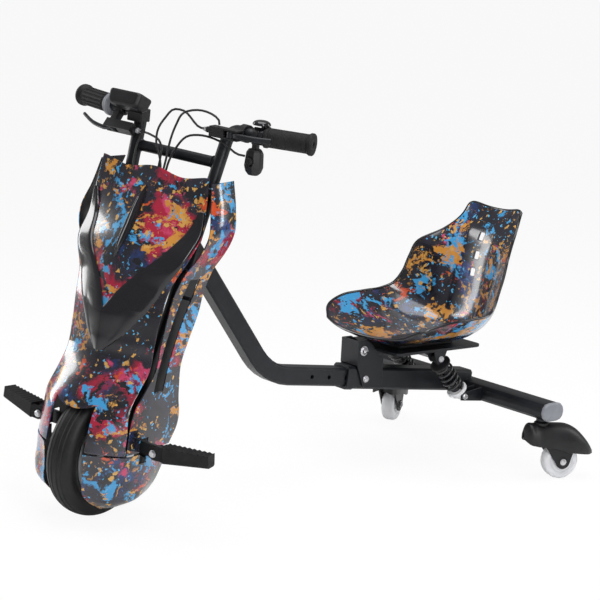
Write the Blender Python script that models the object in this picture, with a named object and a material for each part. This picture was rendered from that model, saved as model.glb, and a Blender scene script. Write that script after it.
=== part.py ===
# Three-wheel drift scooter with a steered front wheel, bucket seat and two casters.
# Metres, +Z up, front towards -Y, rider's left towards +X, floor at z = 0.
# The front unit is drawn straight ahead and then turned by its rest angle, as photographed.
import math

import bmesh
import bpy
import numpy as np
from mathutils import Matrix, Quaternion, Vector

# general fits
GAP = 0.0004            # clearance between pieces that only touch
RUN = 0.0008            # clearance round a turning or sliding fit
SKIN = 0.0026           # wall of the moulded covers

# front wheel and fork
TYRE_RADIUS = 0.125
TYRE_HALF_WIDTH = 0.030
RIM_RADIUS = 0.084
WHEEL_STEPS = 24
HUB_HALF_WIDTH = 0.036
AXLE_RADIUS = 0.007
AXLE_SHOULDER = 0.010
AXLE_HALF_LENGTH = 0.0615
NUT_RADIUS = 0.0125
NUT_THICK = 0.009
DROPOUT_X = 0.042       # inner face of a dropout plate
DROPOUT_THICK = 0.006
RAKE = math.radians(15.0)
HEAD_OFFSET = 0.050     # steering axis behind the line of the legs
REST_STEER = math.radians(17.5)
LEG_LOW_X = 0.0575      # middle of a leg's line at the height of the axle
LEG_SPLAY = 0.076       # how fast the legs move apart going up
LEG_RADIUS = 0.0135
LEG_WALL = 0.0025
LEG_LOW_Z = 0.150
LEG_TOP_Z = 0.622
CROWN_DROP = 0.074      # middle of the lower crown plate, down the axis from the head's middle
CROWN_RISE = 0.070
CROWN_THICK = 0.008
HEAD_MID_Z = 0.534
HEAD_RADIUS = 0.021
STEM_RADIUS = 0.0125
CUP_RADIUS = 0.0235
CUP_HEIGHT = 0.010

# foot pegs
PEG_PIVOT = (0.141, -0.0065, 0.1615)
PEG_TIP = (0.249, 0.0135, 0.1715)
PEG_BOLT_RADIUS = 0.004
PEG_TEETH = 9

# handlebar
BAR_RADIUS = 0.012
BAR_HEIGHT = 0.738
BAR_BEND = 0.026
GRIP_START = (0.174, 0.158)
GRIP_END = (0.2745, 0.189)
BAR_KINK = 0.016        # the bar turns back this far inboard of GRIP_START
KINK_BEND = 0.020
LEFT_GRIP_FROM = 0.0125
TWIST_FROM = 0.0035
COLLAR_FROM = -0.0100   # grey collar of the throttle
SPIGOT = 0.044          # how far the handlebar's posts reach into the legs
GRIP_RADIUS = 0.0182
CROSS_TUBE_Z = 0.675
CROSS_TUBE_RADIUS = 0.0105

# frame
BEAM = 0.038            # square tube, side
BEAM_WALL = 0.003
BEAM_CORNER = (0.3917, 0.2256)
BEAM_BEND = 0.120
BEAM_SLOPE = 0.119      # the straight part falls towards the rear
BEAM_END_Y = 0.800
SLEEVE = 0.0465
SLEEVE_START_Y = 0.590
COLLAR = 0.0495
COLLAR_LENGTH = 0.018
CROSS_Y = 0.943
CROSS_Z = 0.147
CROSS_DEPTH = 0.058
CROSS_HEIGHT = 0.038
CROSS_WALL = 0.003
CROSS_HALF_LENGTH = 0.265
CAP_THICK = 0.010

# seat and suspension
PIVOT_Y = 0.626
PIVOT_Z = 0.257
BRACKET_THICK = 0.004
BRACKET_FRONT_Y = 0.6115
BRACKET_TOP_Z = 0.2775
PLATE_TOP_Z = 0.258
PLATE_THICK = 0.006
PLATE_HALF_WIDTH = 0.086
PLATE_END_Y = 0.905
SEAT_SKIN = 0.0045
SHOCK_X = 0.070
SHOCK_TOP = (0.792, 0.235)
SHOCK_LOW = (0.869, 0.146)
SPRING_RADIUS = 0.0170
SPRING_WIRE = 0.0026
SPRING_CURLS = 5
SPRING_SEAT_RADIUS = 0.0222
SPRING_SEAT = 0.0125    # from an eye's middle to the underside of the spring's seat
SPRING_SEAT_THICK = 0.0105
SHOCK_EYE_RADIUS = 0.009
SHOCK_EYE_HALF = 0.009
SHOCK_EYE_PLAY = 0.0008 # the upper eye's bush gives this way while the seat rocks

# casters
CASTER_X = 0.245
CASTER_Y = 0.938
CASTER_TRAIL = 0.047
CASTER_RADIUS = 0.0385
CASTER_HALF_WIDTH = 0.0145
CASTER_SWIVEL_LEFT = math.radians(-22.0)
CASTER_SWIVEL_RIGHT = math.radians(30.0)
CASTER_AXLE_RADIUS = 0.004
FENDER_TOP_Z = 0.119
STEM_BOSS_RADIUS = 0.0115

# where the middle of the whole scooter's box lies, on the floor
ORIGIN = Vector((-0.00575, 0.4655, -0.0002))

UP = Vector((0, 0, 1))


def clear_scene():
    for obj in list(bpy.data.objects):
        bpy.data.objects.remove(obj)


MATERIALS = {
    "print": ((0.10, 0.16, 0.30), 0.2, 0.0),
    "gloss": ((0.01, 0.01, 0.012), 0.15, 0.0),
    "frame": ((0.03, 0.03, 0.04), 0.45, 0.2),
    "rubber": ((0.02, 0.02, 0.02), 0.75, 0.0),
    "plastic": ((0.03, 0.03, 0.03), 0.5, 0.0),
    "grey": ((0.25, 0.26, 0.30), 0.5, 0.0),
    "white": ((0.85, 0.85, 0.88), 0.3, 0.0),
    "steel": ((0.7, 0.7, 0.72), 0.25, 1.0),
}
made = {}
FRAMES = {}


def material(kind):
    if kind not in made:
        colour, rough, metal = MATERIALS[kind]
        mat = bpy.data.materials.new(kind)
        mat.use_nodes = True
        shader = mat.node_tree.nodes["Principled BSDF"]
        shader.inputs["Base Color"].default_value = (*colour, 1)
        shader.inputs["Roughness"].default_value = rough
        shader.inputs["Metallic"].default_value = metal
        made[kind] = mat
    return made[kind]


def add_mesh(name, verts, faces, kind="frame", frame=None):
    """A closed mesh from points and faces, facing out, in the named frame."""
    mesh = bpy.data.meshes.new(name)
    mesh.from_pydata([tuple(v) for v in verts], [], [tuple(f) for f in faces])
    work = bmesh.new()
    work.from_mesh(mesh)
    bmesh.ops.remove_doubles(work, verts=work.verts, dist=1e-6)
    bmesh.ops.recalc_face_normals(work, faces=work.faces)
    if work.calc_volume(signed=True) < 0:
        bmesh.ops.reverse_faces(work, faces=work.faces)
    work.to_mesh(mesh)
    work.free()
    mesh.materials.append(material(kind))
    obj = bpy.data.objects.new(name, mesh)
    bpy.context.collection.objects.link(obj)
    obj.parent = FRAMES[frame or "body"]
    return obj


def helper(obj):
    obj.hide_render = True
    obj.display_type = "WIRE"
    return obj


def boolean(obj, other, operation):
    helper(other)
    mod = obj.modifiers.new(operation.lower(), "BOOLEAN")
    mod.operation = operation
    mod.solver = "EXACT"
    mod.object = other
    return obj


def cut(obj, *others):
    for other in others:
        boolean(obj, other, "DIFFERENCE")
    return obj


def join(obj, *others):
    for other in others:
        boolean(obj, other, "UNION")
    return obj


def set_pivot(obj, point):
    """Moves the object's origin onto its joint without moving the piece."""
    point = Vector(point)
    obj.data.transform(Matrix.Translation(-point))
    obj.location = obj.location + point
    return obj


def loft(name, rings, kind="frame", frame=None, closed=False):
    """Skins rings of equally many points, with flat ends unless closed."""
    count = len(rings[0])
    verts = [p for ring in rings for p in ring]
    faces = []
    last = len(rings) if closed else len(rings) - 1
    for i in range(last):
        a, b = i * count, ((i + 1) % len(rings)) * count
        for j in range(count):
            k = (j + 1) % count
            faces.append((a + j, a + k, b + k, b + j))
    if not closed:
        faces.append(tuple(range(count - 1, -1, -1)))
        faces.append(tuple((len(rings) - 1) * count + j for j in range(count)))
    return add_mesh(name, verts, faces, kind, frame)


def circle(radius, sides, turn=0.0):
    steps = [2 * math.pi * i / sides + turn for i in range(sides)]
    return [(radius * math.cos(a), radius * math.sin(a)) for a in steps]


def rounded_box(width, height, corner, steps=2):
    """A rectangle with rounded corners, as points round its middle."""
    points = []
    for cx, cy, start in ((1, 1, 0), (-1, 1, 90), (-1, -1, 180), (1, -1, 270)):
        for i in range(steps + 1):
            a = math.radians(start + 90 * i / steps)
            x = cx * (width / 2 - corner) + corner * math.cos(a)
            y = cy * (height / 2 - corner) + corner * math.sin(a)
            points.append((x, y))
    return points


def rounded_path(points, radii, steps=5):
    """A polyline with its inner corners replaced by arcs of the given radii."""
    points = [Vector(p) for p in points]
    out = [points[0]]
    for i in range(1, len(points) - 1):
        a = (points[i - 1] - points[i]).normalized()
        b = (points[i + 1] - points[i]).normalized()
        radius = radii[i - 1]
        if radius <= 0:
            out.append(points[i])
            continue
        half = a.angle(b) / 2
        reach = radius / math.tan(half)
        centre = points[i] + (a + b).normalized() * (radius / math.sin(half))
        start = points[i] + a * reach - centre
        end = points[i] + b * reach - centre
        for k in range(steps + 1):
            swing = Quaternion().slerp(start.rotation_difference(end), k / steps)
            out.append(centre + swing @ start)
    out.append(points[-1])
    return out


def sweep(name, path, profile, kind="frame", frame=None, up=(1, 0, 0), ends=None):
    """Carries a profile along a path; its first axis stays near the given up direction."""
    path = [Vector(p) for p in path]
    side = Vector(up)
    rings = []
    for i, point in enumerate(path):
        before = point - path[i - 1] if i else path[1] - point
        after = path[i + 1] - point if i < len(path) - 1 else point - path[i - 1]
        along = (before.normalized() + after.normalized()).normalized()
        first = (side - along * side.dot(along)).normalized()
        second = along.cross(first)
        shape = profile(i) if callable(profile) else profile
        stretch = 1.0 / max(0.5, before.normalized().dot(along))
        turn = before.normalized().cross(after.normalized())
        rings.append([])
        for a, b in shape:
            offset = first * a + second * b
            if turn.length > 1e-6:
                lean = turn.normalized().cross(along)
                offset = offset + lean * offset.dot(lean) * (stretch - 1.0)
            rings[-1].append(point + offset)
        side = first
    return loft(name, rings, kind, frame)


def rod(name, start, end, radius, sides=12, kind="steel", frame=None):
    along = Vector(end) - Vector(start)
    up = (1, 0, 0) if abs(along.normalized().x) < 0.9 else (0, 0, 1)
    return sweep(name, [start, end], circle(radius, sides), kind, frame, up)


def revolve(name, profile, centre, axis, steps=24, kind="frame", frame=None):
    """Turns a closed outline of (radius, height) points about an axis."""
    axis = Vector(axis).normalized()
    first = axis.orthogonal().normalized()
    second = axis.cross(first)
    centre = Vector(centre)
    verts, index, faces = [], [], []
    for radius, height in profile:
        if radius < 1e-7:
            index.append([len(verts)] * steps)
            verts.append(centre + axis * height)
            continue
        index.append(list(range(len(verts), len(verts) + steps)))
        for i in range(steps):
            a = 2 * math.pi * i / steps
            spoke = first * math.cos(a) + second * math.sin(a)
            verts.append(centre + axis * height + spoke * radius)
    count = len(profile)
    for p in range(count):
        q = (p + 1) % count
        if profile[p][0] < 1e-7 and profile[q][0] < 1e-7:
            continue
        for i in range(steps):
            k = (i + 1) % steps
            face = [index[p][i], index[p][k], index[q][k], index[q][i]]
            face = list(dict.fromkeys(face))
            faces.append(face)
    return add_mesh(name, verts, faces, kind, frame)


def block(name, low, high, kind="frame", frame=None, bevel=0.0, segments=1):
    x0, y0, z0 = low
    x1, y1, z1 = high
    ring = [(x0, y0), (x1, y0), (x1, y1), (x0, y1)]
    obj = loft(name, [[(x, y, z0) for x, y in ring], [(x, y, z1) for x, y in ring]], kind, frame)
    if bevel:
        mod = obj.modifiers.new("edge", "BEVEL")
        mod.width = bevel
        mod.segments = segments
    return obj


def plate(name, outline, axis, start, end, kind="frame", frame=None):
    """Extrudes an outline along X, Y or Z; the outline's points are the other two axes in order."""
    def place(a, b, t):
        return {"x": (t, a, b), "y": (a, t, b), "z": (a, b, t)}[axis]
    return loft(name, [[place(a, b, t) for a, b in outline] for t in (start, end)], kind, frame)


def shell(name, grid, wall, kind="print", frame=None, inward=1.0):
    """A sheet of points given a wall along its own normals and closed at its edges."""
    grid = np.array(grid, float)
    rows, cols = grid.shape[:2]
    du = np.gradient(grid, axis=0)
    dv = np.gradient(grid, axis=1)
    normal = np.cross(du, dv)
    normal /= np.linalg.norm(normal, axis=2, keepdims=True)
    inner = grid - normal * wall * inward
    verts = np.concatenate([grid.reshape(-1, 3), inner.reshape(-1, 3)])
    size = rows * cols

    def at(i, j, side):
        return side * size + i * cols + j

    faces = []
    for i in range(rows - 1):
        for j in range(cols - 1):
            faces.append((at(i, j, 0), at(i, j + 1, 0), at(i + 1, j + 1, 0), at(i + 1, j, 0)))
            faces.append((at(i, j, 1), at(i + 1, j, 1), at(i + 1, j + 1, 1), at(i, j + 1, 1)))
    for i in range(rows - 1):
        for j in (0, cols - 1):
            faces.append((at(i, j, 0), at(i + 1, j, 0), at(i + 1, j, 1), at(i, j, 1)))
    for j in range(cols - 1):
        for i in (0, rows - 1):
            faces.append((at(i, j, 0), at(i, j + 1, 0), at(i, j + 1, 1), at(i, j, 1)))
    return add_mesh(name, verts, faces, kind, frame)


def through(table, at):
    """Smooth values between the rows of a table whose first column is the station."""
    table = np.array(table, float)
    where = table[:, 0]
    slopes = np.gradient(table[:, 1:], where, axis=0)
    i = int(np.clip(np.searchsorted(where, at) - 1, 0, len(where) - 2))
    step = where[i + 1] - where[i]
    t = np.clip((at - where[i]) / step, 0, 1)
    h00, h10 = 2 * t**3 - 3 * t**2 + 1, t**3 - 2 * t**2 + t
    h01, h11 = -2 * t**3 + 3 * t**2, t**3 - t**2
    low, high = table[i, 1:], table[i + 1, 1:]
    return h00 * low + h10 * step * slopes[i] + h01 * high + h11 * step * slopes[i + 1]


def resample(points, count):
    """Equal steps along a polyline."""
    points = np.array(points, float)
    reach = np.concatenate([[0], np.cumsum(np.linalg.norm(np.diff(points, axis=0), axis=1))])
    want = np.linspace(0, reach[-1], count)
    return np.stack([np.interp(want, reach, points[:, k]) for k in range(points.shape[1])], axis=1)


def leg_y(z):
    return math.tan(RAKE) * (z - TYRE_RADIUS)


def leg_x(z):
    return LEG_LOW_X + LEG_SPLAY * (z - TYRE_RADIUS)


def leg_point(z, side):
    return Vector((side * leg_x(z), leg_y(z), z))


def fork_point(x, back, up):
    """A point given across, behind and along the steering axis, from the middle of the head."""
    behind = Vector((0, math.cos(RAKE), -math.sin(RAKE)))
    return STEER_POINT + Vector((x, 0, 0)) + behind * back + STEER_AXIS * up


def fork_plate(name, outline, low, high, kind, frame):
    """A plate square to the steering axis; its outline is given across and behind the axis."""
    return loft(name, [[fork_point(a, b, h) for a, b in outline] for h in (low, high)], kind, frame)


def head_y(z):
    return leg_y(z) + HEAD_OFFSET / math.cos(RAKE)


def beam_z(y):
    return BEAM_CORNER[1] - BEAM_SLOPE * (y - BEAM_CORNER[0])


STEER_AXIS = Vector((0, math.sin(RAKE), math.cos(RAKE)))
STEER_POINT = Vector((0, head_y(HEAD_MID_Z), HEAD_MID_Z))


def make_frames():
    turn = Matrix.Rotation(REST_STEER, 4, STEER_AXIS)
    places = {
        "body": Matrix.Identity(4),
        "front": Matrix.Translation(STEER_POINT) @ turn @ Matrix.Translation(-STEER_POINT),
        "caster_left": Matrix.Translation((CASTER_X, CASTER_Y, 0))
        @ Matrix.Rotation(CASTER_SWIVEL_LEFT, 4, "Z"),
        "caster_right": Matrix.Translation((-CASTER_X, CASTER_Y, 0))
        @ Matrix.Rotation(CASTER_SWIVEL_RIGHT, 4, "Z"),
    }
    for name, place in places.items():
        empty = bpy.data.objects.new(name + "_frame", None)
        bpy.context.collection.objects.link(empty)
        empty.matrix_world = Matrix.Translation(-ORIGIN) @ place
        FRAMES[name] = empty


# front wheel

def build_wheel():
    tread = []
    for i in range(7):
        a = math.radians(-90 + 180 * i / 6)
        tread.append((TYRE_RADIUS - 0.026 + 0.026 * max(0.0, math.cos(a)) ** 0.62,
                      TYRE_HALF_WIDTH * math.sin(a)))
    outline = [(RIM_RADIUS + GAP, -0.020), (RIM_RADIUS + 0.004, -0.026)]
    outline += tread + [(RIM_RADIUS + 0.004, 0.026), (RIM_RADIUS + GAP, 0.020)]
    centre = (0, 0, TYRE_RADIUS)
    tyre = revolve("tyre", outline, centre, (1, 0, 0), WHEEL_STEPS, "rubber", "front")
    set_pivot(tyre, centre)
    bore = AXLE_RADIUS + RUN
    half = [(RIM_RADIUS, 0.0195), (RIM_RADIUS + 0.002, 0.0255), (0.070, 0.0210), (0.032, 0.0225),
            (0.026, HUB_HALF_WIDTH), (bore, HUB_HALF_WIDTH)]
    hub = [(r, -x) for r, x in reversed(half)] + half
    hub_motor = revolve("hub_motor", hub, centre, (1, 0, 0), WHEEL_STEPS, "grey", "front")
    set_pivot(hub_motor, centre)
    near = HUB_HALF_WIDTH + GAP
    far = DROPOUT_X - GAP
    shaft = revolve(
        "axle_and_nuts",
        [(0, -AXLE_HALF_LENGTH), (AXLE_RADIUS, -AXLE_HALF_LENGTH), (AXLE_RADIUS, -far),
         (AXLE_SHOULDER, -far), (AXLE_SHOULDER, -near), (AXLE_RADIUS, -near), (AXLE_RADIUS, near),
         (AXLE_SHOULDER, near), (AXLE_SHOULDER, far), (AXLE_RADIUS, far),
         (AXLE_RADIUS, AXLE_HALF_LENGTH), (0, AXLE_HALF_LENGTH)],
        centre, (1, 0, 0), 10, "steel", "front")
    start = DROPOUT_X + DROPOUT_THICK + GAP
    for side in (1, -1):
        nut = revolve(
            "nut_form", [(0, start * side), (NUT_RADIUS, start * side),
                         (NUT_RADIUS, (start + NUT_THICK) * side), (0, (start + NUT_THICK) * side)],
            centre, (1, 0, 0), 6, "steel", "front")
        join(shaft, nut)


def build_fork():
    fork = None
    bores = []
    for side in (1, -1):
        name = "front_fork" if fork is None else "leg_form"
        leg = rod(name, leg_point(LEG_LOW_Z, side), leg_point(LEG_TOP_Z, side), LEG_RADIUS, 12,
                  "frame", "front")
        bores.append(rod("leg_bore", leg_point(LEG_TOP_Z - SPIGOT, side), leg_point(LEG_TOP_Z + 0.02, side),
                         LEG_RADIUS - LEG_WALL, 10, "frame", "front"))
        fork = leg if fork is None else join(fork, leg)
    for side in (1, -1):
        dropout = [(-0.016, 0.116), (-0.008, 0.109), (0.008, 0.109), (0.016, 0.116), (0.022, 0.150),
                   (0.024, 0.178), (-0.006, 0.178), (-0.014, 0.150)]
        join(fork, plate("dropout_form", dropout, "x", DROPOUT_X * side,
                         (DROPOUT_X + DROPOUT_THICK) * side, "frame", "front"))
        # lug that carries the foot peg, with a block at the leg
        y, z = PEG_PIVOT[1:]
        lug = [(y - LUG_HALF, z - 0.0115), (y + LUG_HALF, z - 0.0115), (y + LUG_HALF, z + 0.0125),
               (y - LUG_HALF, z + 0.0125)]
        join(fork, plate("lug_form", lug, "x", side * (leg_x(z) - 0.008),
                         side * (PEG_PIVOT[0] + 0.010), "frame", "front"))
        cut(fork, rod("peg_hole", (side * PEG_PIVOT[0], -0.05, z), (side * PEG_PIVOT[0], 0.05, z),
                      PEG_BOLT_RADIUS + GAP, 8, "frame", "front"))
    # crown plates square to the steering axis, and the steerer between them
    for up in (-CROWN_DROP, CROWN_RISE):
        wide = leg_x(fork_point(0, -HEAD_OFFSET, up).z) + 0.017
        front = -HEAD_OFFSET - 0.017
        outline = [(-wide, front), (wide, front), (wide, front + 0.034), (0.034, 0.016), (0.020, 0.025),
                   (-0.020, 0.025), (-0.034, 0.016), (-wide, front + 0.034)]
        join(fork, fork_plate("crown_form", outline, up - CROWN_THICK / 2, up + CROWN_THICK / 2,
                              "frame", "front"))
    join(fork, rod("stem_form", fork_point(0, 0, -CROWN_DROP - 0.006), fork_point(0, 0, CROWN_RISE + 0.012),
                   STEM_RADIUS, 12, "frame", "front"))
    # cross tube and tray that carry the battery and the controller
    wide = leg_x(fork_point(0, -HEAD_OFFSET, TRAY_UP).z)
    join(fork, rod("cross_form", fork_point(-wide, -HEAD_OFFSET, TRAY_UP),
                   fork_point(wide, -HEAD_OFFSET, TRAY_UP), 0.008, 10, "frame", "front"))
    tray = [(-0.050, BATTERY_FRONT - 0.001), (0.050, BATTERY_FRONT - 0.001), (0.050, -HEAD_OFFSET + 0.004),
            (-0.050, -HEAD_OFFSET + 0.004)]
    join(fork, fork_plate("tray_form", tray, TRAY_UP - 0.0025, TRAY_UP + 0.002, "frame", "front"))
    # guard strips on the legs, seen through the slots in the side covers
    for side in (1, -1):
        rings = []
        for z in (0.248, 0.480):
            x, y = leg_x(z), leg_y(z)
            rings.append([(side * (x + a), y + b, z) for a, b in GUARD_OUTLINE])
        join(fork, loft("guard_form", rings, "frame", "front"))
    # stays that reach the insides of the covers
    for side in (1, -1):
        for z in (0.430,):
            start = leg_point(z, side)
            reach = side_reach(SIDE_FACE, z, start.y)
            join(fork, rod("stay_form", start, (side * reach, start.y, z), STAY_RADIUS, 6, "frame", "front"))
        z = 0.205
        start = leg_point(z, side)
        join(fork, rod("stay_form", start, (side * side_reach(SIDE_FACE, z, start.y), start.y, z),
                       STAY_RADIUS, 6, "frame", "front"))
        z = 0.1395
        join(fork, rod("stay_form", (side * (DROPOUT_X + 0.001), 0.010, z),
                       (side * side_reach(WHEEL_FACE, z, 0.010), 0.010, z), STAY_RADIUS, 6, "frame", "front"))
        for up, x in ((CROWN_RISE, 0.060), (TRAY_UP, 0.062)):
            start = fork_point(side * x, -HEAD_OFFSET - 0.004, up)
            join(fork, rod("stay_form", start, (start.x, front_reach(start.z, x), start.z), STAY_RADIUS, 6,
                           "frame", "front"))
    hole = rod("axle_hole", (-0.08, 0, TYRE_RADIUS), (0.08, 0, TYRE_RADIUS), AXLE_RADIUS + GAP, 10,
               "frame", "front")
    cut(fork, hole, *bores)


GUARD_OUTLINE = ((0.0095, -0.004), (0.0150, -0.004), (0.0150, 0.032), (0.0095, 0.032))
LUG_HALF = 0.0045
STAY_RADIUS = 0.004
TRAY_UP = -0.204        # along the steering axis from the middle of the head
BATTERY_FRONT = -0.115
BATTERY_BACK = -0.071
BATTERY_TALL = 0.178
BATTERY_HALF = 0.052


def side_reach(face, z, y):
    """How far out a stay may go before it meets a side cover's inner face."""
    worst = 1.0
    for dz in (-STAY_RADIUS, STAY_RADIUS):
        row = np.array(side_row(face, z + dz, 1, 30))
        for dy in (-STAY_RADIUS, STAY_RADIUS):
            worst = min(worst, float(np.interp(y + dy, row[:, 1], row[:, 0])))
    return worst - SKIN - GAP


def front_reach(z, x):
    """How far forward a stay may go before it meets the front cover's inner face."""
    worst = -1.0
    for dz in (-STAY_RADIUS, STAY_RADIUS):
        for dx in (-STAY_RADIUS, STAY_RADIUS):
            worst = max(worst, front_y(z + dz, x + dx))
    return worst + 1.35 * SKIN + GAP


def build_inside():
    low = TRAY_UP + 0.002 + GAP
    outline = [(x, b) for x, b in rounded_rect(-BATTERY_HALF, BATTERY_FRONT, BATTERY_HALF, BATTERY_BACK,
                                               0.008)]
    fork_plate("battery_pack", outline, low, low + BATTERY_TALL, "grey", "front")
    high = TRAY_UP - 0.0025 - GAP
    outline = [(-0.036, -0.108), (0.036, -0.108), (0.036, -0.0605), (-0.036, -0.0605)]
    box = fork_plate("controller_box", outline, high - 0.044, high, "steel", "front")
    for i in range(4):
        x = -0.027 + 0.018 * i
        fin = [(x - 0.004, -0.13), (x + 0.004, -0.13), (x + 0.004, -0.04), (x - 0.004, -0.04)]
        cut(box, fork_plate("fin_cut", fin, high - 0.060, high - 0.038, "steel", "front"))


def build_pegs():
    for name, side in (("left", 1), ("right", -1)):
        pivot = Vector((side * PEG_PIVOT[0], PEG_PIVOT[1], PEG_PIVOT[2]))
        tip = Vector((side * PEG_TIP[0], PEG_TIP[1], PEG_TIP[2]))
        along = (tip - pivot).normalized()
        across = UP.cross(along).normalized()
        lift = along.cross(across)
        length = (tip - pivot).length
        rings = []
        start = 0.0175
        for i in range(2 * PEG_TEETH + 1):
            s = start + (length - start) * i / (2 * PEG_TEETH)
            half = 0.0165 - 0.0045 * s / length
            deep = 0.017 - 0.004 * s / length
            tooth = 0.0022 if i % 2 else 0.0
            top = half - tooth
            ring = [(-deep, -half + 0.003), (-deep + 0.003, -half), (deep - 0.003, -half),
                    (deep, -half + 0.003), (deep, top), (-deep, top)]
            rings.append([pivot + along * s + across * a + lift * b for a, b in ring])
        peg = loft("footpeg_" + name, rings, "rubber", "front")
        # two ears that straddle the lug on the fork
        for face in (1, -1):
            ear_in, ear_out = 0.0045 + RUN, 0.0125
            y0 = pivot.y + face * ear_in
            y1 = pivot.y + face * ear_out
            ears = [(pivot.x - side * 0.009, pivot.z - 0.0085), (pivot.x, pivot.z - 0.012),
                    (pivot.x + side * 0.022, pivot.z - 0.011), (pivot.x + side * 0.022, pivot.z + 0.013),
                    (pivot.x, pivot.z + 0.012), (pivot.x - side * 0.009, pivot.z + 0.0085)]
            join(peg, plate("ear_form", ears, "y", y0, y1, "rubber", "front"))
        cut(peg, rod("peg_bore", (pivot.x, -0.05, pivot.z), (pivot.x, 0.04, pivot.z),
                     PEG_BOLT_RADIUS + GAP, 8, "rubber", "front"))
        reach = 0.0125 + GAP
        revolve(
            "footpeg_bolt_" + name,
            [(0, -reach - 0.005), (0.0065, -reach - 0.004), (0.007, -reach), (PEG_BOLT_RADIUS, -reach),
             (PEG_BOLT_RADIUS, reach), (0.0065, reach), (0.0065, reach + 0.005), (0, reach + 0.005)],
            pivot, (0, 1, 0), 10, "steel", "front")


# front covers

# station z, keel y, corner x, corner y, how round the section is
FRONT_FACE = [
    (0.153, -0.1050, 0.1050, -0.055, 2.5),
    (0.190, -0.1000, 0.1030, -0.050, 2.4),
    (0.235, -0.0850, 0.1000, -0.045, 2.2),
    (0.265, -0.0630, 0.0990, -0.025, 1.8),
    (0.300, -0.0350, 0.1000, -0.001, 1.45),
    (0.350, -0.0270, 0.1000, 0.008, 1.3),
    (0.400, -0.0235, 0.1030, 0.015, 1.25),
    (0.450, -0.0140, 0.1080, 0.025, 1.25),
    (0.508, 0.0010, 0.1310, 0.041, 1.25),
    (0.550, 0.0280, 0.1340, 0.071, 1.3),
    (0.600, 0.0590, 0.1310, 0.080, 1.4),
    (0.652, 0.0860, 0.1255, 0.088, 1.6),
]
# station z, front x, front y, middle x, middle y, rear x, rear y of a side cover
SIDE_FACE = [
    (0.153, 0.1060, -0.050, 0.1085, -0.012, 0.1090, 0.030, 0.1060, 0.070),
    (0.190, 0.1040, -0.045, 0.1085, -0.010, 0.1100, 0.035, 0.1100, 0.085),
    (0.215, 0.1035, -0.041, 0.1080, -0.007, 0.1100, 0.035, 0.1100, 0.087),
    (0.235, 0.1030, -0.034, 0.1075, -0.003, 0.1090, 0.035, 0.1080, 0.085),
    (0.265, 0.1030, -0.010, 0.1065, 0.015, 0.1075, 0.045, 0.1065, 0.084),
    (0.300, 0.1035, 0.014, 0.1055, 0.032, 0.1065, 0.055, 0.1050, 0.085),
    (0.350, 0.1040, 0.023, 0.1065, 0.045, 0.1085, 0.068, 0.1100, 0.095),
    (0.400, 0.1075, 0.030, 0.1100, 0.052, 0.1140, 0.078, 0.1180, 0.105),
    (0.450, 0.1130, 0.040, 0.1170, 0.060, 0.1210, 0.082, 0.1250, 0.109),
    (0.490, 0.1280, 0.050, 0.1300, 0.075, 0.1310, 0.098, 0.1310, 0.125),
    (0.510, 0.1410, 0.055, 0.1410, 0.080, 0.1390, 0.108, 0.1360, 0.140),
    (0.530, 0.1500, 0.060, 0.1500, 0.085, 0.1480, 0.112, 0.1440, 0.145),
    (0.552, 0.1540, 0.067, 0.1560, 0.090, 0.1550, 0.117, 0.1500, 0.148),
    (0.600, 0.1425, 0.081, 0.1470, 0.100, 0.1475, 0.122, 0.1460, 0.150),
    (0.648, 0.1315, 0.089, 0.1340, 0.107, 0.1335, 0.128, 0.1310, 0.156),
]
# the same for the cover beside the wheel
WHEEL_FACE = [
    (0.034, 0.0500, -0.045, 0.0600, -0.025, 0.0620, 0.005, 0.0560, 0.030),
    (0.050, 0.0480, -0.072, 0.0780, -0.050, 0.0880, 0.000, 0.0750, 0.046),
    (0.070, 0.0470, -0.093, 0.0860, -0.068, 0.0980, 0.000, 0.0850, 0.058),
    (0.100, 0.0460, -0.098, 0.0940, -0.070, 0.1050, 0.000, 0.0930, 0.068),
    (0.125, 0.0460, -0.100, 0.0990, -0.062, 0.1080, 0.000, 0.0980, 0.073),
    (0.150, 0.0460, -0.104, 0.1035, -0.057, 0.1090, 0.005, 0.1055, 0.070),
]
SEAM_Z = 0.1515
ARCH_RADIUS = 0.135
ARCH_HALF_WIDTH = 0.046
SIDE_TOP_Z = 0.648
WINDOW_LOW_Z = 0.262
WINDOW_HIGH_Z = 0.470


def front_y(z, x):
    """The outer face of the front cover at a height and a distance from the middle."""
    keel, wide, y, power = through(FRONT_FACE, z)
    return keel + (y - keel) * (abs(x) / wide) ** power


def front_row(z, count, low=-1.0, high=1.0):
    """Points across the front cover at one height, from rider's right to left."""
    wide = through(FRONT_FACE, z)[1]
    row = []
    for i in range(count):
        x = wide * (low + (high - low) * i / (count - 1))
        row.append((x, front_y(z, x), z))
    return row


def off_front(x, z, lift):
    """A point this far out from the front cover's face, square to it."""
    step = 0.004
    slope_x = (front_y(z, x + step) - front_y(z, x - step)) / (2 * step)
    slope_z = (front_y(z + step, x) - front_y(z - step, x)) / (2 * step)
    normal = Vector((slope_x, -1.0, slope_z)).normalized()
    return Vector((x, front_y(z, x), z)) + normal * lift


def build_front_cover():
    grid = []
    top = FRONT_LEVELS[-1]
    for z in FRONT_LEVELS:
        out = []
        for x, y, zz in front_row(z, 11):
            u = abs(x) / 0.13
            # the top edge rises a little at its middle and towards its corners
            crest = 0.005 * math.cos(2 * math.pi * min(1.0, u)) * max(0.0, (z - 0.60) / (top - 0.60))
            out.append((x, y, zz + crest))
        grid.append(out)
    cover = shell("fairing_front", grid, SKIN, "print", "front", -1.0)
    cut(cover, rod("arch_cut", (-ARCH_HALF_WIDTH, 0, TYRE_RADIUS), (ARCH_HALF_WIDTH, 0, TYRE_RADIUS),
                   ARCH_RADIUS, 32, "print", "front"))


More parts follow.
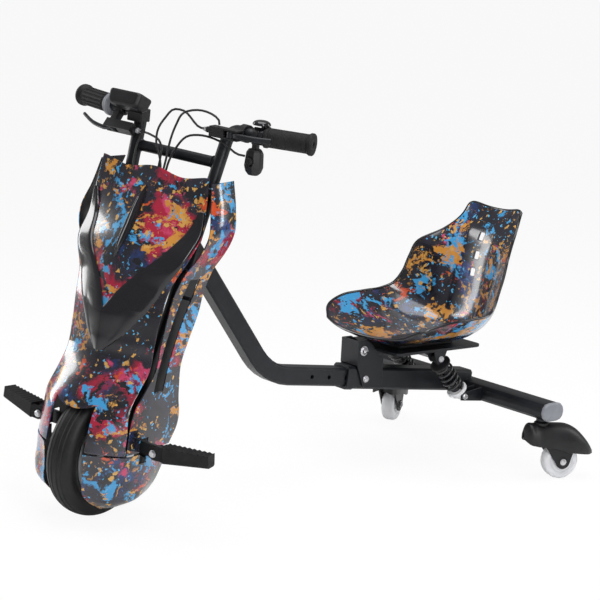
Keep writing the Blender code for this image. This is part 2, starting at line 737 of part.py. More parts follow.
FRONT_LEVELS = (0.153, 0.183, 0.213, 0.243, 0.270, 0.297, 0.325, 0.360, 0.405, 0.435, 0.465, 0.495, 0.520,
                0.548, 0.575, 0.600, 0.626, 0.652)


def side_row(face, z, side, count):
    values = through(face, z)
    table = [(i, values[2 * i], values[2 * i + 1]) for i in range(4)]
    path = [through(table, t) for t in np.linspace(0, 3, 19)]
    path = resample(path, count)
    return [(side * x, y, z) for x, y in path]


def build_side_covers():
    for name, side in (("left", 1), ("right", -1)):
        levels = SIDE_LEVELS
        panel = shell("side_panel_" + name, [side_row(SIDE_FACE, z, side, 7) for z in levels], SKIN,
                      "print", "front", -side)
        # long window that shows the fork leg
        rings = []
        for z in (WINDOW_LOW_Z, WINDOW_HIGH_Z):
            y = leg_y(z) - WINDOW_AHEAD
            rings.append([(side * 0.090, y, z), (side * 0.150, y, z), (side * 0.150, y + WINDOW_WIDE, z),
                          (side * 0.090, y + WINDOW_WIDE, z)])
        cut(panel, loft("window_cut", rings, "frame", "front"))
        levels = np.linspace(WHEEL_FACE[0][0], WHEEL_FACE[-1][0], 8)
        cover = shell("wheel_cover_" + name, [side_row(WHEEL_FACE, z, side, 9) for z in levels], SKIN,
                      "print", "front", -side)
        # opening for the peg's lug, through the seam
        y, z = PEG_PIVOT[1:]
        hole = [(y - 0.010, z - 0.030), (y + 0.010, z - 0.030), (y + 0.010, z + 0.018), (y - 0.010, z + 0.018)]
        window = plate("peg_window", hole, "x", side * 0.02, side * 0.14, "frame", "front")
        cut(panel, window)
        cut(cover, window)


SIDE_LEVELS = (0.1534, 0.190, 0.225, 0.255, 0.285, 0.320, 0.360, 0.405, 0.450, 0.478, 0.500, 0.520, 0.540,
               0.560, 0.600, 0.648)
WINDOW_AHEAD = 0.026
WINDOW_WIDE = 0.025


def build_trim():
    # glossy V-shaped trim laid on the front cover, a raised blade in its middle
    stations = [(0.325, 0.012, 0.10), (0.360, 0.012, 0.45), (0.405, 0.012, 0.74), (0.435, 0.16, 0.87),
                (0.465, 0.36, 0.93), (0.495, 0.54, 0.96), (0.520, 0.66, 0.98), (0.548, 0.765, 0.99),
                (0.575, 0.85, 0.995), (0.595, 0.915, 0.995)]
    trim = None
    for side in (1, -1):
        rings = []
        for z, inner, outer in stations:
            wide = through(FRONT_FACE, z)[1]
            places = [side * wide * (inner + (outer - inner) * t) for t in (0.0, 0.5, 1.0)]
            ring = [off_front(x, z, TRIM_BACK) for x in places]
            ring += [off_front(x, z, TRIM_FACE) for x in reversed(places)]
            rings.append(ring)
        piece = loft("chevron_trim" if trim is None else "trim_form", rings, "gloss", "front")
        trim = piece if trim is None else join(trim, piece)
    spine = []
    for z, half in ((0.3255, 0.008), (0.360, 0.008), (0.4045, 0.008), (0.412, 0.004)):
        y = front_y(z, 0)
        spine.append([(-half, y - TRIM_BACK - 0.0004, z), (half, y - TRIM_BACK - 0.0004, z),
                      (0.0, y - TRIM_FACE - 0.003, z)])
    join(trim, loft("spine_form", spine, "gloss", "front"))
    rings = []
    for z, half, high in ((0.496, 0.0015, 0.004), (0.520, 0.0065, 0.010), (0.548, 0.0085, 0.014),
                          (0.575, 0.008, 0.015), (0.600, 0.0055, 0.012), (0.620, 0.0012, 0.005)):
        base = [off_front(x, z, TRIM_BACK + 0.0006) for x in (-half, 0, half)]
        rings.append(base + [off_front(0, z, high)])
    loft("hood_blade", rings, "gloss", "front")


TRIM_BACK = 0.0012
TRIM_FACE = 0.0046


# handlebar and controls

def bar_line(distance, side):
    """Point and outward direction on the bar's middle line, counted from GRIP_START outwards."""
    start = Vector((GRIP_START[0], GRIP_START[1], BAR_HEIGHT))
    outer = (Vector((GRIP_END[0], GRIP_END[1], BAR_HEIGHT)) - start).normalized()
    kink = start - outer * BAR_KINK
    inner = (kink - leg_point(BAR_HEIGHT, 1)).normalized()
    if distance > -BAR_KINK:
        point, along = start + outer * distance, outer
    else:
        point, along = kink + inner * (distance + BAR_KINK), inner
    return Vector((side * point.x, point.y, point.z)), Vector((side * along.x, along.y, 0))


def bar_point(distance, side):
    return bar_line(distance, side)[0]


def bar_direction(side):
    return bar_line(0, side)[1]


def bar_path(side, low, end):
    """Middle line of one side of the bar from a height on its post to a distance along its grip."""
    return rounded_path([leg_point(low, side), leg_point(BAR_HEIGHT, side), bar_point(-BAR_KINK, side),
                         bar_point(end, side)], [BAR_BEND, KINK_BEND], 4)


def build_handlebar():
    bar = None
    length = (Vector(GRIP_END) - Vector(GRIP_START)).length
    for side in (1, -1):
        half = sweep("handlebar" if bar is None else "bar_form", bar_path(side, LEG_TOP_Z + GAP, length - 0.005),
                     circle(BAR_RADIUS, 12), "frame", "front", (0, 1, 0))
        bar = half if bar is None else join(bar, half)
        join(bar, rod("spigot_form", leg_point(LEG_TOP_Z - SPIGOT + 0.001, side),
                      leg_point(LEG_TOP_Z + 0.02, side), LEG_RADIUS - LEG_WALL - 2 * GAP, 8, "frame", "front"))
    z = CROSS_TUBE_Z
    join(bar, rod("cross_form", leg_point(z, -1), leg_point(z, 1), CROSS_TUBE_RADIUS, 10, "frame", "front"))


def grip_outline(length, ribs, radius, bore, flange, collar):
    """Outline of a ribbed grip with a raised end, closed at the outer end but for a small hole."""
    points = [(bore, 0.0), (radius + 0.0012, 0.0), (radius + 0.0012, collar)]
    step = (length - collar - 0.010) / ribs
    for i in range(ribs):
        s = collar + 0.001 + step * i
        points += [(radius - 0.0012, s), (radius - 0.0012, s + step * 0.35), (radius, s + step * 0.5),
                   (radius, s + step * 0.95)]
    points += [(flange, length - 0.007), (flange, length - 0.0015), (flange - 0.0015, length),
               (0.004, length), (0.004, length - 0.003), (bore, length - 0.003)]
    return points


def build_grips():
    length = (Vector(GRIP_END) - Vector(GRIP_START)).length
    bore = BAR_RADIUS + GAP
    start = LEFT_GRIP_FROM
    revolve("grip_left", grip_outline(length - start, 1, GRIP_RADIUS, bore, 0.0205, 0.007),
            bar_point(start, 1), bar_direction(1), 12, "rubber", "front")
    start = TWIST_FROM
    outline = grip_outline(length - start, 2, GRIP_RADIUS, BAR_RADIUS + RUN, 0.0212, 0.004)
    twist = revolve("throttle_grip", outline, bar_point(start, -1), bar_direction(-1), 12, "rubber", "front")
    set_pivot(twist, bar_point(0.06, -1))
    # fixed collar of the throttle
    near = start - RUN
    revolve("throttle_housing",
            [(bore, COLLAR_FROM), (0.0205, COLLAR_FROM), (0.0228, COLLAR_FROM + 0.0015), (0.0228, near - 0.0015),
             (0.0215, near), (bore, near)],
            bar_point(0, -1), bar_direction(-1), 14, "grey", "front")


def oriented_block(name, centre, axes, half, kind, frame, bevel=0.0, segments=2):
    axes = [Vector(a).normalized() for a in axes]
    centre = Vector(centre)
    rings = []
    for c in (-1, 1):
        ring = []
        for a, b in ((-1, -1), (1, -1), (1, 1), (-1, 1)):
            ring.append(centre + axes[0] * half[0] * a + axes[1] * half[1] * b + axes[2] * half[2] * c)
        rings.append(ring)
    obj = loft(name, rings, kind, frame)
    if bevel:
        mod = obj.modifiers.new("edge", "BEVEL")
        mod.width = bevel
        mod.segments = segments
    return obj


def build_display():
    # battery gauge clamped over the bend of the bar, its face leaning back towards the rider
    side = Vector((1, 0, 0))
    face = Vector((0, 0.40, 0.917)).normalized()
    other = face.cross(side)
    middle = Vector(DISPLAY_MIDDLE)
    rings = []
    for up, wide, deep in ((-0.016, 0.030, 0.017), (-0.010, 0.0365, 0.021), (0.010, 0.0385, 0.0225),
                           (0.013, 0.036, 0.020)):
        shape = rounded_box(2 * wide, 2 * deep, 0.006, 1)
        rings.append([middle + side * a + other * b + face * up for a, b in shape])
    box = loft("display_box", rings, "plastic", "front")
    foot = leg_point(BAR_HEIGHT - 0.012, -1)
    join(box, oriented_block("foot_form", (foot.x, foot.y - 0.0085, foot.z + 0.004),
                             (side, (0, 1, 0), UP), (0.0165, 0.0148, 0.0122), "plastic", "front"))
    cut(box, sweep("bar_bore", bar_path(-1, 0.690, 0.0), circle(BAR_RADIUS + GAP, 12), "plastic", "front",
                   (0, 1, 0)))
    centre, out = bar_line(LEVERS["right"]["clamp"], -1)
    cut(box, rod("ring_clearance", centre - out * (RING_HALF + RUN), centre + out * (RING_HALF + RUN),
                 RING_RADIUS + RUN, 16, "plastic", "front"))
    cut(box, oriented_block("face_cut", middle + face * 0.0135, (side, other, face),
                            (0.030, 0.0145, 0.0016), "plastic", "front"))


DISPLAY_MIDDLE = (-0.1105, 0.1300, 0.7570)


DISPLAY_AT = -0.046


# side, clamp place along the bar, how far the lever is turned down about the bar, and
# how far from the bar's middle line its body starts
LEVERS = {
    "left": dict(side=1, clamp=-0.0290, droop=math.radians(2), reach=0.0245),
    "right": dict(side=-1, clamp=-0.0290, droop=math.radians(50), reach=0.0345),
}
LEVER_PIVOT = (-0.006, 0.0115)
LEVER_BODY = (-0.052, 0.012)
LEVER_THICK = 0.018
BLADE_TURN = math.radians(17.0)
RING_RADIUS = BAR_RADIUS + 0.0045
RING_HALF = 0.0075
PIN_RADIUS = 0.0028


def lever_axes(data):
    """Clamp centre and the outward, forward and upward directions of a brake lever's body."""
    centre = bar_point(data["clamp"], data["side"])
    droop = data["droop"]
    forward = Vector((0, -math.cos(droop), -math.sin(droop)))
    upward = Vector((0, -math.sin(droop), math.cos(droop)))
    return centre, Vector((data["side"], 0, 0)), forward, upward


def lever_pivot(data):
    centre, out, forward, upward = lever_axes(data)
    return centre + out * LEVER_PIVOT[0] + forward * (data["reach"] + LEVER_PIVOT[1])


def lever_cable_end(data):
    """Where the cable leaves the ferrule of a brake lever, and its direction there."""
    centre, out, forward, upward = lever_axes(data)
    end = centre + out * LEVER_BODY[0] + forward * (data["reach"] + LEVER_THICK / 2)
    return end, -out


def build_levers():
    for name, data in LEVERS.items():
        centre, out, forward, upward = lever_axes(data)
        pivot = lever_pivot(data)
        near = data["reach"]
        far = near + LEVER_THICK

        def box(label, a, f, n):
            middle = centre + out * (a[0] + a[1]) / 2 + forward * (f[0] + f[1]) / 2 + upward * (n[0] + n[1]) / 2
            half = ((a[1] - a[0]) / 2, (f[1] - f[0]) / 2, (n[1] - n[0]) / 2)
            return oriented_block(label, middle, (out, forward, upward), half, "plastic", "front")

        perch = box("brake_perch_" + name, LEVER_BODY, (near, far), (-0.0095, 0.0095))
        along = bar_line(data["clamp"], data["side"])[1]
        join(perch, revolve("ring_form", [(0, -RING_HALF), (RING_RADIUS, -RING_HALF), (RING_RADIUS, RING_HALF),
                                          (0, RING_HALF)], centre, along, 14, "plastic", "front"))
        join(perch, box("arm_form", (-0.0062, 0.0062), (0.006, near + 0.002), (-0.0082, 0.0082)))
        cut(perch, rod("clamp_bore", centre - along * 0.02, centre + along * 0.02, BAR_RADIUS + GAP, 16,
                       "plastic", "front"))
        cut(perch, box("lever_slot", (-0.019, 0.030), (near + 0.003, far + 0.02), (-0.0062, 0.0062)))
        end, away = lever_cable_end(data)
        join(perch, rod("barrel_form", end - away * 0.004, end + away * 0.010, 0.0058, 10, "plastic", "front"))
        join(perch, rod("ferrule_form", end + away * 0.008, end + away * FERRULE_REACH, 0.0036, 8, "steel",
                        "front"))
        join(perch, rod("pin_form", pivot - upward * 0.0085, pivot + upward * 0.0085, PIN_RADIUS, 8,
                        "steel", "front"))
        blade = out * math.cos(BLADE_TURN) - forward * math.sin(BLADE_TURN)
        front = forward * math.cos(BLADE_TURN) + out * math.sin(BLADE_TURN)
        points = [pivot, pivot + blade * 0.016 + front * 0.012, pivot + blade * 0.048 + front * 0.017,
                  pivot + blade * LEVER_LENGTH + front * 0.012]
        path = rounded_path(points, [0.02, 0.08], 2)
        lever = sweep("brake_lever_" + name, path, rounded_box(0.0110, 0.0062, 0.002, 1), "plastic", "front",
                      upward)
        join(lever, revolve("eye_form", [(0, -0.0055), (0.0078, -0.0055), (0.0078, 0.0055), (0, 0.0055)],
                            pivot, upward, 12, "plastic", "front"))
        cut(lever, rod("eye_bore", pivot - upward * 0.02, pivot + upward * 0.02, PIN_RADIUS + GAP, 8,
                       "plastic", "front"))
        set_pivot(lever, pivot)


FERRULE_REACH = 0.018
LEVER_LENGTH = 0.080


def build_bell():
    centre = bar_point(BELL_AT, 1)
    base = revolve("bell", [(0, -0.0045), (BAR_RADIUS + 0.004, -0.0045), (BAR_RADIUS + 0.004, 0.0045),
                            (0, 0.0045)], centre, bar_direction(1), 14, "plastic", "front")
    post = centre + UP * (BAR_RADIUS + 0.002)
    join(base, rod("post_form", post - UP * 0.004, post + UP * 0.008, 0.0042, 8, "plastic", "front"))
    top = post - bar_direction(1) * 0.004
    join(base, revolve("dome_form", [(0, 0.0062), (0.0160, 0.0062), (0.0168, 0.0080), (0.0145, 0.0122),
                                     (0.0090, 0.0150), (0, 0.0160)], top, UP, 16, "plastic", "front"))
    cut(base, rod("clamp_bore", centre - bar_direction(1) * 0.02, centre + bar_direction(1) * 0.02,
                  BAR_RADIUS + GAP, 12, "plastic", "front"))


BELL_AT = 0.0072
POD_AT = -0.0040


def build_pod():
    centre = bar_point(POD_AT, 1)
    out = bar_direction(1)
    pod = revolve("horn_pod", [(0, -0.0055), (BAR_RADIUS + 0.004, -0.0055), (BAR_RADIUS + 0.004, 0.0055),
                               (0, 0.0055)], centre, out, 14, "plastic", "front")
    join(pod, oriented_block("neck_form", centre - UP * 0.019, (out, UP.cross(out), UP),
                             (0.0052, 0.0075, 0.010), "plastic", "front"))
    rings = []
    for z, w in ((-0.024, 0.0135), (-0.031, 0.0185), (-0.056, 0.0205), (-0.066, 0.017), (-0.072, 0.0105)):
        shape = rounded_box(w * 1.75, w * 1.55, w * 0.5, 1)
        rings.append([centre + Vector((a, b, z)) for a, b in shape])
    join(pod, loft("pod_form", rings, "plastic", "front"))
    cut(pod, rod("clamp_bore", centre - out * 0.02, centre + out * 0.02, BAR_RADIUS + GAP, 12, "plastic",
                 "front"))
    face = centre + HORN_FACE
    button = revolve("horn_button", [(0, 0.003), (0.0075, 0.003), (0.0075, -0.0035), (0.006, -0.005),
                                     (0, -0.005)], face, (0, 1, 0), 14, "grey", "front")
    cut(pod, revolve("button_seat", [(0, 0.0030 + HORN_TRAVEL + GAP), (0.0075 + RUN, 0.0030 + HORN_TRAVEL + GAP),
                                     (0.0075 + RUN, -0.01), (0, -0.01)], face, (0, 1, 0), 14, "plastic",
                     "front"))
    set_pivot(button, face)


HORN_FACE = Vector((0, -0.0155, -0.046))
HORN_TRAVEL = 0.0025


def cable(name, points):
    curve = bpy.data.curves.new(name, "CURVE")
    curve.dimensions = "3D"
    curve.bevel_depth = CABLE_RADIUS
    curve.bevel_resolution = 1
    curve.use_fill_caps = True
    curve.render_resolution_u = 0
    spline = curve.splines.new("POLY")
    smooth = smooth_path(points, 15)
    spline.points.add(len(smooth) - 1)
    for i, p in enumerate(smooth):
        spline.points[i].co = (*p, 1)
    curve.materials.append(material("rubber"))
    obj = bpy.data.objects.new(name, curve)
    bpy.context.collection.objects.link(obj)
    obj.parent = FRAMES["front"]
    return obj


def smooth_path(points, count):
    """Equal steps through the points; the first and last straight pieces stay as given."""
    points = np.array([tuple(p) for p in points], float)
    reach = np.concatenate([[0], np.cumsum(np.linalg.norm(np.diff(points, axis=0), axis=1))])
    table = np.column_stack([reach, points])
    inner = [tuple(through(table, s)) for s in np.linspace(reach[1], reach[-2], count)]
    return [tuple(points[0])] + inner + [tuple(points[-1])]


def build_cables():
    ends = {}
    for name, data in LEVERS.items():
        end, away = lever_cable_end(data)
        ends[name] = [end + away * (FERRULE_REACH + GAP), end + away * (FERRULE_REACH + 0.007)]

    def plug(x):
        """The last two points of a cable, where it meets the top of the battery."""
        top = TRAY_UP + 0.002 + GAP + BATTERY_TALL + GAP
        return [fork_point(x, -0.093, top + 0.025), fork_point(x, -0.093, top)]

    cable("cable_brake_left", ends["left"] + [(0.0307, 0.112, 0.7633), (0.0144, 0.108, 0.7623),
                                              (-0.0024, 0.107, 0.7447), (-0.0182, 0.107, 0.7177),
                                              (-0.0177, 0.106, 0.6935), (-0.0060, 0.106, 0.6677),
                                              (-0.0005, 0.104, 0.650), (-0.0010, 0.101, 0.620)] + plug(-0.003))
    cable("cable_brake_switch", [(0.1042, 0.1301, 0.7479), (0.1030, 0.1290, 0.756), (0.0930, 0.1210, 0.7655),
                                 (0.0764, 0.1130, 0.7700), (0.0426, 0.104, 0.7616), (0.0177, 0.115, 0.7352),
                                 (0.0047, 0.118, 0.7028),
                                 (0.0039, 0.112, 0.669), (0.0056, 0.105, 0.650), (0.0050, 0.101, 0.620)] + plug(0.004))
    pod = bar_point(POD_AT, 1)
    cable("cable_horn", [pod + HORN_WIRE, pod + HORN_WIRE + Vector((-0.010, -0.006, 0.001)), (0.1219, 0.126, 0.7170),
                         (0.0704, 0.115, 0.7242), (0.0479, 0.113, 0.7183), (0.0225, 0.113, 0.6907),
                         (0.0135, 0.109, 0.667), (0.0118, 0.105, 0.650), (0.0112, 0.101, 0.620)] + plug(0.011))
    cable("cable_brake_right", ends["right"] + [(-0.0400, 0.120, 0.7035), (-0.0240, 0.119, 0.6990),
                                                (-0.0130, 0.117, 0.6850), (-0.0100, 0.112, 0.6680),
                                                (-0.0070, 0.105, 0.650), (-0.0072, 0.101, 0.620)] + plug(-0.010))
    cable("cable_throttle", [(-0.0845, 0.1380, 0.7346), (-0.0843, 0.1390, 0.722), (-0.0839, 0.1390, 0.702),
                             (-0.0830, 0.1300, 0.674), (-0.0750, 0.1150, 0.642), (-0.0500, 0.1000, 0.615),
                             (-0.0300, 0.0970, 0.595)] + plug(-0.018))


HORN_WIRE = Vector((-0.0186, -0.004, -0.040))


CABLE_RADIUS = 0.0021


# frame

def build_beam():
    meet = HEAD_MID_Z
    start = (0, head_y(meet) + HEAD_RADIUS * 0.4, meet - HEAD_RADIUS * 0.2)
    end = (0, BEAM_END_Y, beam_z(BEAM_END_Y))
    corner = (0, *BEAM_CORNER)
    path = rounded_path([start, corner, end], [BEAM_BEND], 5)
    beam = sweep("main_beam", path, rounded_box(BEAM, BEAM, 0.004, 1), "frame", None, (1, 0, 0))
    # the open rear end of the tube
    along = (Vector(end) - Vector(path[-2])).normalized()
    inner = sweep("beam_bore", [Vector(end) - along * 0.16, Vector(end) + along * 0.02],
                  rounded_box(BEAM - 2 * BEAM_WALL, BEAM - 2 * BEAM_WALL, 0.002, 1), "frame", None, (1, 0, 0))
    cut(beam, inner)
    low = -CROWN_DROP + CROWN_THICK / 2 + CUP_HEIGHT + 2 * RUN
    high = CROWN_RISE - CROWN_THICK / 2 - CUP_HEIGHT - 2 * RUN
    join(beam, rod("head_form", fork_point(0, 0, low), fork_point(0, 0, high), HEAD_RADIUS, 16, "frame"))
    cut(beam, rod("head_bore", fork_point(0, 0, low - 0.03), fork_point(0, 0, high + 0.03),
                  STEM_RADIUS + RUN, 14, "frame"))
    # holes that set the length
    for i in range(HOLE_COUNT):
        y = HOLE_FIRST_Y + i * HOLE_PITCH
        cut(beam, rod("set_hole", (-0.05, y, beam_z(y)), (0.05, y, beam_z(y)), LOCK_RADIUS + GAP, 8))
    # bearing cups between the head and the crown plates
    for name, up, way in (("headset_lower", low, -1), ("headset_upper", high, 1)):
        at = fork_point(0, 0, up + way * RUN)
        tall = CUP_HEIGHT
        revolve(name, [(STEM_RADIUS + RUN, 0), (CUP_RADIUS - 0.002, 0), (CUP_RADIUS, way * 0.003),
                       (CUP_RADIUS, way * (tall - 0.002)), (CUP_RADIUS - 0.002, way * tall),
                       (STEM_RADIUS + RUN, way * tall)], at, STEER_AXIS, 16, "steel")


HOLE_COUNT = 5
HOLE_FIRST_Y = 0.500
HOLE_PITCH = 0.045
LOCK_RADIUS = 0.004


def build_rear_frame():
    back_y = CROSS_Y
    start = (0, SLEEVE_START_Y, beam_z(SLEEVE_START_Y))
    end = (0, back_y, beam_z(back_y))
    sleeve = sweep("rear_frame", [start, end], rounded_box(SLEEVE, SLEEVE, 0.005, 1), "frame", None, (1, 0, 0))
    along = (Vector(end) - Vector(start)).normalized()
    collar = sweep("collar_form", [start, Vector(start) + along * COLLAR_LENGTH],
                   rounded_box(COLLAR, COLLAR, 0.005, 1), "frame", None, (1, 0, 0))
    bar = sweep("bar_form", [(-CROSS_HALF_LENGTH, CROSS_Y, CROSS_Z), (CROSS_HALF_LENGTH, CROSS_Y, CROSS_Z)],
                rounded_box(CROSS_HEIGHT, CROSS_DEPTH, CROSS_HEIGHT * 0.46, 3), "frame", None, (0, 0, 1))
    join(sleeve, collar, bar)
    inner = sweep("sleeve_bore", [Vector(start) - along * 0.03, Vector(start) + along * 0.30],
                  rounded_box(BEAM + 2 * GAP, BEAM + 2 * GAP, 0.004, 1), "frame", None, (1, 0, 0))
    cut(sleeve, inner)
    for side in (1, -1):
        hollow = sweep("bar_bore", [(side * (CROSS_HALF_LENGTH - PLUG), CROSS_Y, CROSS_Z),
                                    (side * (CROSS_HALF_LENGTH + 0.02), CROSS_Y, CROSS_Z)],
                       rounded_box(CROSS_HEIGHT - 2 * CROSS_WALL, CROSS_DEPTH - 2 * CROSS_WALL,
                                   CROSS_HEIGHT * 0.46 - CROSS_WALL, 3), "frame", None, (0, 0, 1))
        cut(sleeve, hollow)
        # socket tube of the caster under the bar
        socket = rod("socket_form", (side * CASTER_X, CASTER_Y, CROSS_Z - CROSS_HEIGHT / 2 + 0.0024),
                     (side * CASTER_X, CASTER_Y, SOCKET_LOW_Z), STEM_BOSS_RADIUS, 12, "frame")
        join(sleeve, socket)
        cut(sleeve, rod("stem_bore", (side * CASTER_X, CASTER_Y, SOCKET_LOW_Z - 0.01),
                        (side * CASTER_X, CASTER_Y, SOCKET_LOW_Z + CASTER_STEM), 0.0065, 10, "frame"))
        # pair of ears that hold the lower eye of a shock
        for face in (1, -1):
            x0 = side * SHOCK_X + face * (SHOCK_EYE_HALF + GAP)
            x1 = x0 + face * 0.004
            y, z = SHOCK_LOW
            ears = [(y - 0.009, z - 0.008), (y + 0.050, z - 0.015), (y + 0.060, z + 0.004),
                    (y + 0.050, z + 0.015), (y + 0.006, z + 0.009), (y - 0.007, z + 0.006)]
            join(sleeve, plate("ear_form", ears, "x", x0, x1))
        cut(sleeve, rod("ear_hole", (side * SHOCK_X - 0.03, *SHOCK_LOW), (side * SHOCK_X + 0.03, *SHOCK_LOW),
                        SHOCK_BOLT_RADIUS + GAP, 10))
    # holes for the bolt that sets the length
    y = LOCK_Y
    cut(sleeve, rod("lock_hole", (-0.06, y, beam_z(y)), (0.06, y, beam_z(y)), LOCK_RADIUS + GAP, 12))
    for name, side in (("left", 1), ("right", -1)):
        x = side * CROSS_HALF_LENGTH
        rings = []
        for reach, shrink in ((GAP, 0.0), (0.005, -0.0008), (0.0085, 0.0012), (CAP_THICK, 0.005)):
            shape = rounded_box(CROSS_HEIGHT - 2 * shrink, CROSS_DEPTH - 2 * shrink,
                                CROSS_HEIGHT * 0.46 - shrink, 3)
            rings.append([(x + side * reach, CROSS_Y + b, CROSS_Z + a) for a, b in shape])
        cap = loft("end_cap_" + name, rings, "grey")
        plug = sweep("plug_form", [(x - side * (PLUG - GAP), CROSS_Y, CROSS_Z), (x + side * 0.004, CROSS_Y, CROSS_Z)],
                     rounded_box(CROSS_HEIGHT - 2 * CROSS_WALL - 2 * GAP, CROSS_DEPTH - 2 * CROSS_WALL - 2 * GAP,
                                 CROSS_HEIGHT * 0.46 - CROSS_WALL - GAP, 3), "grey", None, (0, 0, 1))
        join(cap, plug)


PLUG = 0.0052           # how deep the crossbar's ends are hollow
SOCKET_LOW_Z = 0.1235
CASTER_STEM = 0.022
SHOCK_BOLT_RADIUS = 0.004
LOCK_Y = HOLE_FIRST_Y + 3 * HOLE_PITCH


def build_seat_mount():
    half = SLEEVE / 2 + GAP
    outer = half + BRACKET_THICK
    top = BRACKET_TOP_Z
    low = beam_z(PIVOT_Y) - SLEEVE / 2 + 0.004
    side_outline = [(BRACKET_FRONT_Y, beam_z(BRACKET_FRONT_Y) + COLLAR / 2 + 0.002),
                    (BRACKET_FRONT_Y + COLLAR_LENGTH - 0.008 + 0.006, low + 0.006),
                    (BRACKET_FRONT_Y + 0.022, low), (BRACKET_FRONT_Y + 0.070, low + 0.002),
                    (BRACKET_FRONT_Y + 0.070, 0.236), (BRACKET_FRONT_Y + 0.052, 0.246),
                    (BRACKET_FRONT_Y + 0.040, top - 0.010), (BRACKET_FRONT_Y + 0.024, top),
                    (BRACKET_FRONT_Y, top)]
    bracket = plate("seat_bracket", side_outline, "x", half, outer)
    join(bracket, plate("side_form", side_outline, "x", -outer, -half))
    wall = [(-half - 0.002, beam_z(BRACKET_FRONT_Y) + COLLAR / 2 + 0.002), (half + 0.002,
            beam_z(BRACKET_FRONT_Y) + COLLAR / 2 + 0.002), (half + 0.002, top), (-half - 0.002, top)]
    join(bracket, plate("wall_form", wall, "y", BRACKET_FRONT_Y, BRACKET_FRONT_Y + BRACKET_THICK))
    for y, z, r in ((PIVOT_Y, PIVOT_Z, PIVOT_RADIUS), (LOCK_Y, beam_z(LOCK_Y), LOCK_RADIUS)):
        cut(bracket, rod("bolt_hole", (-0.06, y, z), (0.06, y, z), r + GAP, 14))
    # bolts
    reach = outer + GAP
    for name, y, z, r, head in (("pivot_bolt", PIVOT_Y, PIVOT_Z, PIVOT_RADIUS, 0.010),
                                ("length_bolt", LOCK_Y, beam_z(LOCK_Y), LOCK_RADIUS, 0.007)):
        revolve(name, [(0, -reach - 0.006), (head, -reach - 0.006), (head, -reach), (r, -reach),
                       (r, reach), (head, reach), (head * 0.96, reach + 0.004), (head * 0.5, reach + 0.0065),
                       (0, reach + 0.007)], (0, y, z), (1, 0, 0), 12, "steel")
    # arm and plate under the seat
    arm_half = half - RUN
    z1 = PLATE_TOP_Z - PLATE_THICK / 2
    arm_outline = [(PIVOT_Y - 0.009, PIVOT_Z - 0.007), (PIVOT_Y - 0.005, PIVOT_Z - 0.012),
                   (PIVOT_Y + 0.010, PIVOT_Z - 0.014), (PIVOT_Y + 0.150, 0.243), (PIVOT_Y + 0.160, z1),
                   (PIVOT_Y + 0.020, z1), (PIVOT_Y + 0.012, PIVOT_Z + 0.009), (PIVOT_Y - 0.004, PIVOT_Z + 0.012),
                   (PIVOT_Y - 0.009, PIVOT_Z + 0.007)]
    arm = plate("seat_plate", arm_outline, "x", -arm_half, arm_half)
    top_plate = loft("plate_form", [[(a, b, z) for a, b in
                                     rounded_rect(-PLATE_HALF_WIDTH, PIVOT_Y + 0.040, PLATE_HALF_WIDTH,
                                                  PLATE_END_Y, 0.012)]
                                    for z in (PLATE_TOP_Z - PLATE_THICK, PLATE_TOP_Z)])
    join(arm, top_plate)
    for side in (1, -1):
        for face in (1, -1):
            x0 = side * SHOCK_X + face * (SHOCK_EYE_HALF + GAP)
            x1 = x0 + face * 0.0035
            y, z = SHOCK_TOP
            ears = [(y - 0.011, z - 0.004), (y - 0.005, z - 0.0098), (y + 0.004, z - 0.0095),
                    (y + 0.010, z - 0.002), (y + 0.018, PLATE_TOP_Z - PLATE_THICK / 2),
                    (y - 0.020, PLATE_TOP_Z - PLATE_THICK / 2)]
            join(arm, plate("ear_form", ears, "x", x0, x1))
        cut(arm, rod("ear_hole", (side * SHOCK_X - 0.03, *SHOCK_TOP), (side * SHOCK_X + 0.03, *SHOCK_TOP),
                     SHOCK_BOLT_RADIUS + GAP, 10))
    cut(arm, rod("pivot_hole", (-0.06, PIVOT_Y, PIVOT_Z), (0.06, PIVOT_Y, PIVOT_Z),
                 PIVOT_RADIUS + GAP, 12))
    hollow = plate("arm_cut", [(PIVOT_Y - 0.03, 0.20), (PIVOT_Y + 0.20, 0.20),
                               (PIVOT_Y + 0.20, PLATE_TOP_Z - PLATE_THICK - 0.0005),
                               (PIVOT_Y - 0.03, PLATE_TOP_Z - PLATE_THICK - 0.0005)], "x",
                   -arm_half + 0.0035, arm_half - 0.0035)
    cut(arm, hollow)


PIVOT_RADIUS = 0.005


def rounded_rect(x0, y0, x1, y1, corner, steps=2):
    shape = rounded_box(x1 - x0, y1 - y0, corner, steps)
    return [((x0 + x1) / 2 + a, (y0 + y1) / 2 + b) for a, b in shape]


# station, half width, middle y, middle z, rim y, rim z
SEAT_FORM = [
    (0.00, 0.122, 0.634, 0.2870, 0.648, 0.3000),
    (0.10, 0.152, 0.662, 0.2760, 0.672, 0.3180),
    (0.22, 0.169, 0.720, 0.2670, 0.722, 0.3330),
    (0.36, 0.172, 0.800, 0.2645, 0.790, 0.3380),
    (0.48, 0.168, 0.868, 0.2680, 0.834, 0.3420),
    (0.56, 0.158, 0.912, 0.2900, 0.860, 0.3540),
    (0.64, 0.150, 0.930, 0.3380, 0.878, 0.3800),
    (0.73, 0.147, 0.941, 0.3960, 0.893, 0.4150),
    (0.80, 0.139, 0.951, 0.4340, 0.909, 0.4480),
    (0.87, 0.106, 0.963, 0.4720, 0.953, 0.4770),
    (0.93, 0.087, 0.984, 0.5040, 0.983, 0.5060),
    (1.00, 0.079, 1.010, 0.5320, 1.000, 0.5455),
]
SEAT_PAD = (0.055, 0.700, 0.850)


